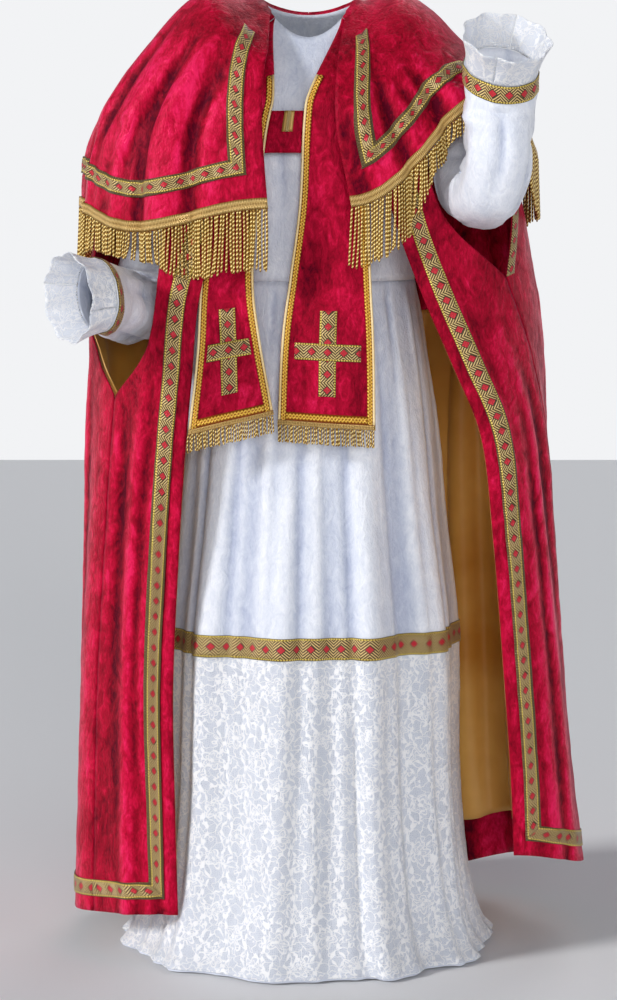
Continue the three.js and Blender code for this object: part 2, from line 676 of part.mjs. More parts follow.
// Eases a garment's top edge onto the neck ring, `lift` off the alb. It reaches the ring
// from `start` round to the back, and is back on its own form at `depth`.
const NECK_EASE = { start: 0.34, depth: 0.12 };
function easeOntoNeck({ rows, side, lift }) {
  const plain = halfGarment({ rows, side });
  return (around, at) => {
    const share = Math.abs(around);
    const ring = side * mix(NECK_EASE.start, 1, share);
    const fade = 1 - softStep(at / NECK_EASE.depth);
    if (fade === 0) return new THREE.Vector3();
    const seat = bodice.surface(ring, 0).addScaledVector(outward(bodice.surface, ring, 0), lift);
    return seat.sub(plain.place(share, 0)).multiplyScalar(fade);
  };
}
function neckGarment(table, folds, lift) {
  const half = (rows, side) => {
    const ease = easeOntoNeck({ rows, side, lift });
    return halfGarment({ rows, side, folds, ease });
  };
  return { right: half(levels(table.right), 1), left: half(levels(table.left), -1) };
}
const STOLE_LIFT = ALB_CLOTH + SEAM;
const CAPE_LIFT = STOLE_LIFT + VELVET + 2 * SEAM;
const SHOULDER_LIFT = CAPE_LIFT + VELVET + 4 * SEAM;
const cape = neckGarment(CAPE, CAPE_FOLDS, CAPE_LIFT);
const capeSurface = wholeGarment(cape.right, cape.left);

// The place of a row that lies so many millimetres above the hem, measured on the cloth.
function aboveHem(surface, around, height) {
  let at = 1;
  let gone = 0;
  let point = surface(around, 1);
  while (gone < height) {
    const next = surface(around, at - HEM_STEP);
    const step = next.distanceTo(point);
    if (gone + step >= height) return at - (HEM_STEP * (height - gone)) / step;
    gone += step;
    at -= HEM_STEP;
    point = next;
  }
  return at;
}

// Columns of places turned into rows of places.
function acrossRows(lines) {
  return lines[0].map((_, row) => lines.map((column) => column[row]));
}

// The rows of a garment down one column: shares of its depth, then heights above the hem.
// With `scaled`, the shares are of the depth that is left above the first of those heights.
function rowPlaces(surface, around, { shares, hems, scaled = false }) {
  const low = hems.map((height) => aboveHem(surface, around, height));
  return [...shares.map((share) => (scaled ? share * low[0] : share)), ...low];
}

const CAPE_ROWS = {
  shares: [0, 0.03, 0.07, 0.12, 0.165, 0.2, 0.24, 0.28, 0.33, 0.385, 0.43, 0.505, 0.6, 0.72, 0.85],
  hems: [52, 25, 0],
};
const EDGE_INSET = 20;
const FRONT_STEPS = 3;
const SLIT_BRAID = 20;
const BACK_STEPS = 14;

// A cape front: the braid's two lines at a fixed distance from the front edge, then even
// steps to the slit or seam.
function capeFrontGrid(side) {
  const half = cape[side];
  const sign = side === "right" ? 1 : -1;
  const surface = (around, at) => half.place(sign * around, at);
  const fixed = [0, EDGE_INSET, EDGE_INSET + BRAID_WIDTH];
  const column = (k) => (at) => {
    const length = half.lengthAt(at);
    const last = slitEdge(side, "front", at) - SEAM / length;
    if (k < fixed.length) return Math.min(fixed[k] / length, (last * k) / fixed.length);
    const braidEnd = Math.min(fixed[fixed.length - 1] / length, (last * (fixed.length - 1)) / fixed.length);
    return mix(braidEnd, last, (k - fixed.length + 1) / FRONT_STEPS);
  };
  const lines = Array.from({ length: fixed.length + FRONT_STEPS }, (_, k) => {
    const share = column(k);
    const places = rowPlaces(surface, sign * share(1), CAPE_ROWS);
    return places.map((at) => [sign * share(at), at]);
  });
  if (sign === -1) lines.reverse();
  return gridOn(surface, acrossRows(lines));
}

// The cape back, from one slit or seam round to the other.
function capeBackGrid() {
  const edge = (side, at, extra) => slitEdge(side, "back", at) + (SEAM + extra) / cape[side].lengthAt(at);
  const column = (k) => (at) => {
    if (k === 0) return edge("right", at, 0);
    if (k === BACK_STEPS + 2) return 2 - edge("left", at, 0);
    return mix(edge("right", at, SLIT_BRAID), 2 - edge("left", at, SLIT_BRAID), (k - 1) / BACK_STEPS);
  };
  const lines = Array.from({ length: BACK_STEPS + 3 }, (_, k) => {
    const around = column(k);
    return rowPlaces(capeSurface, around(1), CAPE_ROWS).map((at) => [around(at), at]);
  });
  return gridOn(capeSurface, acrossRows(lines));
}

const capeGrids = {
  front_right: capeFrontGrid("right"),
  front_left: capeFrontGrid("left"),
  back: capeBackGrid(),
};
for (const [name, grid] of Object.entries(capeGrids)) {
  piece(`cape_${name}`, "crimsonVelvet", wallOn(grid, { thick: VELVET }));
}

// The satin lining, from the panels' own points: sewn close at its edges and slack between.
// It starts below the arms, where it first shows, and ends above the hem.
const hemRow = CAPE_ROWS.shares.length;
const LINING_TOP = CAPE_ROWS.shares.indexOf(0.43);
const LINING_DROP = { sewn: -LINING_CLOTH - SEAM, slack: -9 };
for (const [name, grid] of Object.entries(capeGrids)) {
  const last = grid.points[0].length - 1;
  const part = partOf(grid, [0, last], [LINING_TOP, hemRow]);
  const frontEdge = { front_right: 0, front_left: last, back: -1 }[name];
  const drop = (i, j) => (i === frontEdge || j === 0 ? LINING_DROP.sewn : LINING_DROP.slack);
  piece(`lining_${name}`, "ochreSatin", wallOn(part, { thick: LINING_CLOTH, lift: drop }));
}

// Cape braids: down each front edge and along the hem in one mitred line, and up the back
// edge of the +X slit.
const braid = (grid, cell) => wallOn(grid, { thick: BRAID, lift: VELVET + SEAM, cell });
const FIRST_BRAID_ROW = 3;
for (const side of ["right", "left"]) {
  const grid = capeGrids[`front_${side}`];
  const last = grid.points[0].length - 2;
  const edgeCell = side === "right" ? 1 : last - 1;
  const inHem = (i, j) => j === hemRow && (side === "right" ? i >= edgeCell : i <= edgeCell);
  const downEdge = (i, j) => i === edgeCell && j >= FIRST_BRAID_ROW && j <= hemRow;
  const cell = (i, j) => (downEdge(i, j) || inHem(i, j) ? CLOTH : OPEN);
  piece(`cape_braid_${side}`, "goldBraid", braid(grid, cell));
}
const hemBraid = partOf(capeGrids.back, [0, BACK_STEPS + 2], [hemRow, hemRow + 1]);
piece("cape_braid_back", "goldBraid", braid(hemBraid));
const slitRows = [CAPE_ROWS.shares.indexOf(0.165), CAPE_ROWS.shares.indexOf(0.385)];
piece("slit_braid", "goldBraid", braid(partOf(capeGrids.back, [0, 1], slitRows)));

// Shoulder cape. Its +X side is pushed up by the raised arm: `arch` lifts or drops the
// middle of the front.
const SHOULDER_CAPE = {
  right: [
    { at: 0, edge: [52, -92, 1482], side: [88, 2, 1550], back: [84, 1537] },
    { at: 0.14, edge: [46, -138, 1440], side: [172, 0, 1542], back: [130, 1498] },
    { at: 0.32, edge: [42, -176, 1385], side: [252, -4, 1470], back: [168, 1430], arch: 14 },
    { at: 0.52, edge: [44, -190, 1328], side: [320, -6, 1398], back: [194, 1345], arch: 52 },
    { at: 0.76, edge: [56, -198, 1266], side: [352, -8, 1340], back: [212, 1245], arch: 98 },
    { at: 1, edge: [67, -204, 1209], side: [366, -8, 1286], back: [228, 1150], arch: 134 },
  ],
  left: [
    { at: 0, edge: [52, -92, 1482], side: [88, 2, 1550], back: [84, 1537] },
    { at: 0.14, edge: [66, -142, 1446], side: [176, 0, 1549], back: [130, 1498] },
    { at: 0.32, edge: [72, -174, 1385], side: [254, -4, 1474], back: [168, 1430] },
    { at: 0.52, edge: [72, -190, 1328], side: [320, -6, 1384], back: [194, 1345], arch: -8 },
    { at: 0.76, edge: [68, -200, 1266], side: [352, -8, 1296], back: [212, 1245], arch: -24 },
    { at: 1, edge: [63, -206, 1206], side: [362, -8, 1208], back: [228, 1150], arch: -38 },
  ],
};
const SHOULDER_FOLDS = [
  { around: 0.1, wide: 0.07, deep: 6, from: 0.3, full: 0.9 },
  { around: 0.55, wide: 0.1, deep: 8, from: 0.3, full: 0.9 },
  { around: 0.8, wide: 0.1, deep: 9, from: 0.3, full: 0.9 },
  { around: -0.9, wide: 0.1, deep: 9, from: 0.3, full: 0.9 },
  { around: -0.64, wide: 0.1, deep: 9, from: 0.3, full: 0.9 },
  { around: -0.4, wide: 0.06, deep: 12, from: 0.3, full: 0.8 },
  { around: -0.3, wide: 0.05, deep: -6, from: 0.35, full: 0.9 },
  { around: -0.2, wide: 0.07, deep: 8, from: 0.35, full: 0.9 },
];
const SHOULDER_BRAID = { inset: 29, aboveFringe: 55 };
const SHOULDER_STEPS = 11;
const SHOULDER_ROWS = {
  shares: [0, 0.09, 0.2, 0.4, 0.6, 0.8],
  scaled: true,
  hems: [SHOULDER_BRAID.aboveFringe + BRAID_WIDTH, SHOULDER_BRAID.aboveFringe, FRINGE_HEAD, 0],
};
const shoulderCape = neckGarment(SHOULDER_CAPE, SHOULDER_FOLDS, SHOULDER_LIFT);
function shoulderGrid(side) {
  const half = shoulderCape[side];
  const sign = side === "right" ? 1 : -1;
  const surface = (around, at) => half.place(sign * around, at);
  const fixed = [0, SHOULDER_BRAID.inset, SHOULDER_BRAID.inset + BRAID_WIDTH];
  const share = (k, at) => {
    const length = half.lengthAt(at);
    if (k < fixed.length) return fixed[k] / length;
    const step = (k - fixed.length + 1) / SHOULDER_STEPS;
    return mix(fixed[fixed.length - 1] / length, 1 - SEAM / length, step);
  };
  const lines = Array.from({ length: fixed.length + SHOULDER_STEPS }, (_, k) => {
    const places = rowPlaces(surface, sign * share(k, 1), SHOULDER_ROWS);
    return places.map((at) => [sign * share(k, at), at]);
  });
  if (sign === -1) lines.reverse();
  return gridOn(surface, acrossRows(lines));
}

// How far the fringe hangs below the hem round each side. It is short where it meets the
// raised sleeve.
const SHOULDER_DROP = {
  right: [
    { at: 0, drop: 95 },
    { at: 0.12, drop: 92 },
    { at: 0.17, drop: 44 },
    { at: 0.27, drop: 34 },
    { at: 0.34, drop: 60 },
    { at: 0.4, drop: 95 },
    { at: 1, drop: 95 },
  ],
  left: [
    { at: 0, drop: 95 },
    { at: 0.15, drop: 90 },
    { at: 0.22, drop: 50 },
    { at: 0.36, drop: 50 },
    { at: 0.44, drop: 88 },
    { at: 1, drop: 95 },
  ],
};
const SHOULDER_PITCH = 16;
const STRAND_SWAY = 4;
const HEAD_TRIM = 0.06;

// A fringe: a head tape over the last rows of a panel, and strands that hang from its lower
// edge. The tape follows the panel's own cells, so it lies flat on them, and its upper edge
// is trimmed a little, clear of the trimming above it.
function fringeOn(grid, { columns, pitch, lift, drop, thick = FRINGE_TAPE }) {
  const last = grid.points.length - 1;
  const rows = [last - 1, last];
  const points = [[], [], []];
  const normals = [[], [], []];
  const cellLength = (i) => grid.points[last][i].distanceTo(grid.points[last][i + 1]);
  let total = 0;
  for (let i = columns[0]; i < columns[1]; i += 1) total += cellLength(i);
  const add = (i, share, place) => {
    rows.forEach((row, k) => {
      points[k].push(grid.points[row][i].clone().lerp(grid.points[row][i + 1], share));
      normals[k].push(grid.normals[row][i].clone().lerp(grid.normals[row][i + 1], share));
    });
    const root = points[1][points[1].length - 1];
    points[0][points[0].length - 1].lerp(root, HEAD_TRIM);
    const out = normals[1][normals[1].length - 1].clone().setZ(0).normalize();
    const end = root.clone().addScaledVector(out, STRAND_SWAY);
    end.z -= drop(place / total);
    points[2].push(end);
    normals[2].push(out);
  };
  let gone = 0;
  for (let i = columns[0]; i < columns[1]; i += 1) {
    const steps = 2 * Math.max(1, Math.round(cellLength(i) / pitch));
    for (let k = 0; k < steps; k += 1) add(i, k / steps, gone + (cellLength(i) * k) / steps);
    gone += cellLength(i);
  }
  add(columns[1] - 1, 1, gone);
  const cell = (i, j) => (j === 0 || i % 2 === 0 ? CLOTH : OPEN);
  return wallOn({ points, normals, closed: false }, { thick, lift, cell });
}

for (const side of ["right", "left"]) {
  const grid = shoulderGrid(side);
  const last = grid.points[0].length - 1;
  piece(`shoulder_cape_${side}`, "crimsonVelvet", wallOn(grid, { thick: VELVET }));
  const braidRow = SHOULDER_ROWS.shares.length;
  const edgeCell = side === "right" ? 1 : last - 2;
  const across = (i) => (side === "right" ? i >= edgeCell : i <= edgeCell);
  const cell = (i, j) => {
    const down = i === edgeCell && j >= 1 && j <= braidRow;
    return down || (j === braidRow && across(i)) ? CLOTH : OPEN;
  };
  piece(`shoulder_braid_${side}`, "goldBraid", braid(grid, cell));
  const table = SHOULDER_DROP[side];
  const drop = (share) => read(table, "drop", side === "right" ? share : 1 - share);
  const lift = VELVET + 2 * SEAM;
  const fringe = fringeOn(grid, { columns: [0, last], pitch: SHOULDER_PITCH, lift, drop });
  piece(`shoulder_fringe_${side}`, "goldFringe", fringe);
}

// Stole: a neck piece on the alb, and two panels that hang down the front. Each row gives
// the panel's two edges. The -X panel hangs at a slant.
const STOLE = {
  right: [
    { at: 0, leftX: 4, leftZ: 1450, rightX: 94, rightZ: 1450, y: -134 },
    { at: 0.18, leftX: -8, leftZ: 1345, rightX: 90, rightZ: 1345, y: -152 },
    { at: 0.4, leftX: -15, leftZ: 1213, rightX: 94, rightZ: 1213, y: -160 },
    { at: 0.61, leftX: -31, leftZ: 1093, rightX: 99, rightZ: 1093, y: -168 },
    { at: 0.78, leftX: -43, leftZ: 998, rightX: 104, rightZ: 992, y: -180 },
    { at: 1, leftX: -49, leftZ: 868, rightX: 106, rightZ: 858, y: -192 },
  ],
  left: [
    { at: 0, leftX: -104, leftZ: 1450, rightX: -30, rightZ: 1450, y: -134 },
    { at: 0.18, leftX: -128, leftZ: 1345, rightX: -62, rightZ: 1345, y: -145 },
    { at: 0.4, leftX: -152, leftZ: 1213, rightX: -78, rightZ: 1213, y: -157 },
    { at: 0.61, leftX: -170, leftZ: 1086, rightX: -87, rightZ: 1093, y: -170 },
    { at: 0.78, leftX: -176, leftZ: 980, rightX: -76, rightZ: 998, y: -183 },
    { at: 1, leftX: -190, leftZ: 852, rightX: -55, rightZ: 884, y: -202 },
  ],
};
const STOLE_BELLY = 4;
const STOLE_RISE = 16;
const STOLE_ROWS = {
  shares: [0, 0.04, 0.09, 0.155, 0.21, 0.265, 0.4, 0.54],
  hems: [184, 132, 105, 49, 21, 8, 0],
};
const CROSS = { post: 3, topRow: 8, armRow: 9, lowRow: 10, reach: 52, clearOfGimp: 4 };
const STOLE_FRINGE = { pitch: 9, drop: 28, thick: 2 };
const NECK_PIECE = { starts: 0.3, ends: 1.7, depth: 0.24 };
// The panels end just short of the neck piece, and are eased onto it over this depth.
const STOLE_SEAT = { gap: 0.006, depth: 0.14 };
const ROUNDING = 0.001;

// The neck piece keeps to the alb's own lines.
const neckLines = [
  ...BODICE_COLUMNS.map((share) => share - 0.5),
  ...BODICE_COLUMNS.slice(1).map((share) => share + 0.5),
  ...BODICE_COLUMNS.slice(1).map((share) => share + 1.5),
].filter((around) => around > NECK_PIECE.starts - ROUNDING && around < NECK_PIECE.ends + ROUNDING);
const neckSpots = BODICE_ROWS.filter((at) => at <= NECK_PIECE.depth).map((at) =>
  neckLines.map((around) => [around, at]),
);
const neckPiece = wallOn(gridOn(bodice.surface, neckSpots), { thick: VELVET, lift: STOLE_LIFT });
piece("stole_neck", "crimsonVelvet", neckPiece);

// A stole panel as a surface, its top edge eased onto the end of the neck piece.
function stoleSurface(side) {
  const rows = STOLE[side];
  const plain = (across, at) =>
    new THREE.Vector3(
      mix(read(rows, "leftX", at), read(rows, "rightX", at), across),
      read(rows, "y", at) - STOLE_BELLY * Math.sin(Math.PI * clamp01(across)),
      mix(read(rows, "leftZ", at), read(rows, "rightZ", at), across),
    );
  const sign = side === "right" ? 1 : -1;
  const end = sign * (NECK_PIECE.starts - STOLE_SEAT.gap);
  const seat = (across) => {
    const depth = NECK_PIECE.depth * clamp01(sign === 1 ? across : 1 - across);
    return bodice.surface(end, depth).addScaledVector(outward(bodice.surface, end, depth), STOLE_LIFT);
  };
  return (across, at) => {
    const point = plain(across, at);
    const fade = 1 - softStep(at / STOLE_SEAT.depth);
    if (fade === 0) return point;
    point.add(seat(across).sub(plain(across, 0)).multiplyScalar(fade));
    point.y -= STOLE_RISE * 4 * fade * (1 - fade);
    return point;
  };
}

const stoleSurfaces = { right: stoleSurface("right"), left: stoleSurface("left") };
for (const [side, surface] of Object.entries(stoleSurfaces)) {
  const width = (at) => surface(1, at).distanceTo(surface(0, at));
  const columns = (at) => {
    const middle = width(at) / 2;
    const reach = Math.min(CROSS.reach, middle - GIMP_WIDTH - CROSS.clearOfGimp);
    const lines = [0, GIMP_WIDTH, middle - reach, middle - BRAID_WIDTH / 2];
    const left = lines.map((line) => line / width(at));
    return [...left, ...left.map((share) => 1 - share).reverse()];
  };
  const spots = rowPlaces(surface, 0.5, STOLE_ROWS).map((at) => columns(at).map((across) => [across, at]));
  const grid = gridOn(surface, spots);
  const lastColumn = grid.points[0].length - 1;
  const lastRow = grid.points.length - 1;
  piece(`stole_${side}`, "crimsonVelvet", wallOn(grid, { thick: VELVET }));

  const gimpRow = lastRow - 2;
  const gimpCell = (i, j) => {
    const beside = (i === 0 || i === lastColumn - 1) && j > 1;
    return (beside && j <= gimpRow) || j === gimpRow ? CLOTH : OPEN;
  };
  const gimp = wallOn(grid, { thick: GIMP, lift: VELVET + SEAM, cell: gimpCell });
  piece(`stole_gimp_${side}`, "goldGimp", gimp);

  const crossCell = (i, j) => {
    const post = i === CROSS.post && j >= CROSS.topRow && j <= CROSS.lowRow;
    const arms = j === CROSS.armRow && Math.abs(i - CROSS.post) <= 1;
    return post || arms ? CLOTH : OPEN;
  };
  piece(`stole_cross_${side}`, "goldBraid", braid(grid, crossCell));

  const fringe = fringeOn(grid, {
    columns: [0, lastColumn],
    pitch: STOLE_FRINGE.pitch,
    lift: VELVET + SEAM,
    drop: () => STOLE_FRINGE.drop,
    thick: STOLE_FRINGE.thick,
  });
  piece(`stole_fringe_${side}`, "goldFringe", fringe);
}

// The chest band joins the two panels, and a gold strip runs down it.
const CHEST_BAND = { top: 0.155, low: 0.265, strip: [0.42, 0.72], gap: 0.012 };
const chestSurface = (across, at) => {
  const place = mix(CHEST_BAND.top, CHEST_BAND.low, at);
  return stoleSurfaces.left(1, place).lerp(stoleSurfaces.right(0, place), across);
};
const chestColumns = [CHEST_BAND.gap, ...CHEST_BAND.strip, 1 - CHEST_BAND.gap];
const chestSpots = spread(0, 1, 2).map((at) => chestColumns.map((across) => [across, at]));
const chestGrid = gridOn(chestSurface, chestSpots);
piece("stole_chest_band", "crimsonVelvet", wallOn(chestGrid, { thick: VELVET }));
piece("chest_strip", "goldBraid", braid(partOf(chestGrid, [1, 2], [0, 1])));

export default costume;
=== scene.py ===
import math
import random
from collections import namedtuple

import bmesh
import bpy
import numpy as np
from bpy.props import FloatProperty, FloatVectorProperty, PointerProperty
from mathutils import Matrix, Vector, noise


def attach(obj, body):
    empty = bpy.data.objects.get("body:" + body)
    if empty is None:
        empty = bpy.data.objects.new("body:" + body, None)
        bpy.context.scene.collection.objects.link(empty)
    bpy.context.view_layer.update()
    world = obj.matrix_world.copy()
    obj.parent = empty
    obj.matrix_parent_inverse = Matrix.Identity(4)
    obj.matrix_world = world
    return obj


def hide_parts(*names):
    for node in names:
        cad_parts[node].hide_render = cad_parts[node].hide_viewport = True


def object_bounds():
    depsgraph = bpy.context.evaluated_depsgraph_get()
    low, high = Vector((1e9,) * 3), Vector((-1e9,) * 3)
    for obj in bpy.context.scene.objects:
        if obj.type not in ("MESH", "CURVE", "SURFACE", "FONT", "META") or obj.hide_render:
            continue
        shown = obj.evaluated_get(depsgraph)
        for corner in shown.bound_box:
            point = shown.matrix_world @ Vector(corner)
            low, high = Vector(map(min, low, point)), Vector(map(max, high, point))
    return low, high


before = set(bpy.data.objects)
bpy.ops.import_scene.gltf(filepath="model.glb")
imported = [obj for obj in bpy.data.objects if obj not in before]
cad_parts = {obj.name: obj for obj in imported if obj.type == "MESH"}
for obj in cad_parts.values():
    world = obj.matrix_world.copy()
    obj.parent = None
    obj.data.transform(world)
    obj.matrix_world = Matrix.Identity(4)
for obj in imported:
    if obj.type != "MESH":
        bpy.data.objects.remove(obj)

# The costume as it is worn: a white alb with a lace flounce, a red stole, a long lined cape
# open at the front and a fringed shoulder cape. Lengths are in millimetres above the floor
# until a vertex is placed; +X is on the viewer's right and the front faces -Y.
CAD_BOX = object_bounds()
HOLD_HEIGHT = 1480
WAIST_HEIGHT = 1091
SEAM = 0.35
VELVET = 2.0
ALB_CLOTH = 1.6
LINING_CLOTH = 1.0
UNDERSKIRT_CLOTH = 1.0
LACE_CLOTH = 1.0
BRAID = 1.2
# A braid's outer face lies at least this far off the surface of the velvet and of the alb.
ON_VELVET = VELVET + SEAM + BRAID
ON_ALB = ALB_CLOTH + SEAM + BRAID
BRAID_WIDTH = 27
SEAM_BAND = 35
GIMP_WIDTH = 13
FRINGE_HEAD = 19
# A ridge or trough this far out of its surroundings, in metres, shows at full strength in the velvet's
# painted highlight on ridges and painted shade in troughs.
RIDGE_FULL = 0.0022

bl_info = {
    "name": "Saint Nicholas Costume",
    "version": (1, 0, 0),
    "blender": (4, 5, 0),
    "location": "3D View > Sidebar > Costume",
    "description": "Sews a worn bishop costume of crushed velvet, satin, lace and gold trimmings",
    "category": "Add Mesh",
}


class CostumeSettings(bpy.types.PropertyGroup):
    """Sizes and colours that a user would change."""

    cloth_step: FloatProperty(
        name="Cloth step",
        description="Distance between the points of a cloth panel",
        default=0.0095,
        min=0.004,
        subtype="DISTANCE",
        unit="LENGTH",
    )
    strand_spacing: FloatProperty(
        name="Strand spacing",
        description="Distance between the twisted cords of the shoulder fringe",
        default=0.0052,
        min=0.003,
        subtype="DISTANCE",
        unit="LENGTH",
    )
    strand_width: FloatProperty(
        name="Strand width",
        description="Diameter of one twisted cord of the shoulder fringe",
        default=0.0038,
        min=0.001,
        subtype="DISTANCE",
        unit="LENGTH",
    )
    crumple: FloatProperty(
        name="Crumple",
        description="How far the crushed velvet stands out of its smooth form",
        default=0.0011,
        min=0.0,
        subtype="DISTANCE",
        unit="LENGTH",
    )
    camera_distance: FloatProperty(
        name="Camera distance",
        description="How far in front of the costume the camera stands",
        default=4.6,
        subtype="DISTANCE",
        unit="LENGTH",
    )
    floor_colour: FloatVectorProperty(
        name="Floor colour",
        description="Colour of the plain studio floor",
        default=(0.86, 0.86, 0.87),
        min=0.0,
        max=1.0,
        subtype="COLOR",
    )


# A level of a garment: its front edge (x, y, z), its side (x, y, z) and its back (y, z).
# `square` is 2 for an ellipse and more for a squarer section; `arch` lifts the front's middle.
Level = namedtuple("Level", "at edge side back square arch", defaults=(2, 0))

# A fold at a place round the body, -1 to 1 with the front at 0. It fades in from `start` to
# `full`, dies away at `end`, and drifts sideways on its way down.
Fold = namedtuple("Fold", "around wide deep start full end drift", defaults=(None, 0))

BODICE = (
    Level(0, (0, -62, 1478), (72, 4, 1535), (66, 1520)),
    Level(0.2, (0, -98, 1430), (148, 2, 1492), (96, 1480), 2.1),
    Level(0.36, (0, -120, 1385), (190, 0, 1457), (116, 1430), 2.3),
    Level(0.5, (0, -134, 1320), (184, 0, 1385), (124, 1350), 2.4),
    Level(0.68, (0, -140, 1230), (170, 0, 1270), (124, 1250), 2.3),
    Level(1, (0, -142, WAIST_HEIGHT), (172, -12, WAIST_HEIGHT), (112, WAIST_HEIGHT), 2.2),
)
BODICE_FOLDS = (
    Fold(-0.2, 0.1, 5, 0.5, 0.8, 1),
    Fold(0.12, 0.09, -4, 0.45, 0.8, 1),
    Fold(0.28, 0.09, 5, 0.5, 0.8, 1),
    Fold(0.86, 0.1, 5, 0.5, 0.8, 1),
    Fold(-0.82, 0.12, 5, 0.5, 0.8, 1),
    Fold(-0.08, 0.03, -3, 0.3, 0.6, 1, 0.03),
    Fold(0.04, 0.025, 3, 0.35, 0.7, 1, -0.02),
    Fold(-0.62, 0.04, -3, 0.4, 0.8, 1, 0.03),
    Fold(0.66, 0.04, -3, 0.4, 0.8, 1, -0.03),
)

# Skirt levels: share of the depth, height, front, side, back and the side's place along Y.
SKIRT = tuple(
    Level(at, (0, front, z), (side, middle, z), (back, z), 2.1)
    for at, z, front, side, back, middle in (
        (0, WAIST_HEIGHT - SEAM, -142, 172, 112, -12),
        (0.08, 1004, -158, 186, 132, -12),
        (0.2, 874, -170, 205, 150, -14),
        (0.36, 699, -192, 221, 172, -16),
        (0.53, 514, -218, 242, 192, -20),
        (0.75, 274, -240, 246, 212, -22),
        (0.9, 106, -268, 262, 232, -25),
        (0.97, 26, -300, 284, 248, -30),
        (1, 1, -322, 306, 258, -32),
    )
)
SKIRT_FOLDS = (
    Fold(-0.44, 0.05, 13, 0.02, 0.7),
    Fold(-0.34, 0.045, -9, 0.05, 0.5),
    Fold(-0.25, 0.05, 14, 0.02, 0.6),
    Fold(-0.15, 0.045, -10, 0.1, 0.6),
    Fold(-0.06, 0.05, 12, 0.1, 0.7),
    Fold(0.05, 0.05, -9, 0.02, 0.8),
    Fold(0.14, 0.055, 15, 0.02, 0.5),
    Fold(0.24, 0.045, -12, 0.02, 0.5),
    Fold(0.33, 0.05, 14, 0.05, 0.6),
    Fold(0.43, 0.045, -8, 0.1, 0.7),
    Fold(0.56, 0.06, 11, 0.05, 0.7),
    Fold(0.68, 0.05, -9, 0.05, 0.7),
    Fold(0.79, 0.06, 12, 0.02, 0.6),
    Fold(0.91, 0.05, -9, 0.1, 0.8),
    Fold(-0.97, 0.06, 12, 0.05, 0.7),
    Fold(-0.85, 0.05, -10, 0.05, 0.6),
    Fold(-0.73, 0.06, 13, 0.05, 0.7),
    Fold(-0.6, 0.05, -8, 0.1, 0.8),
)

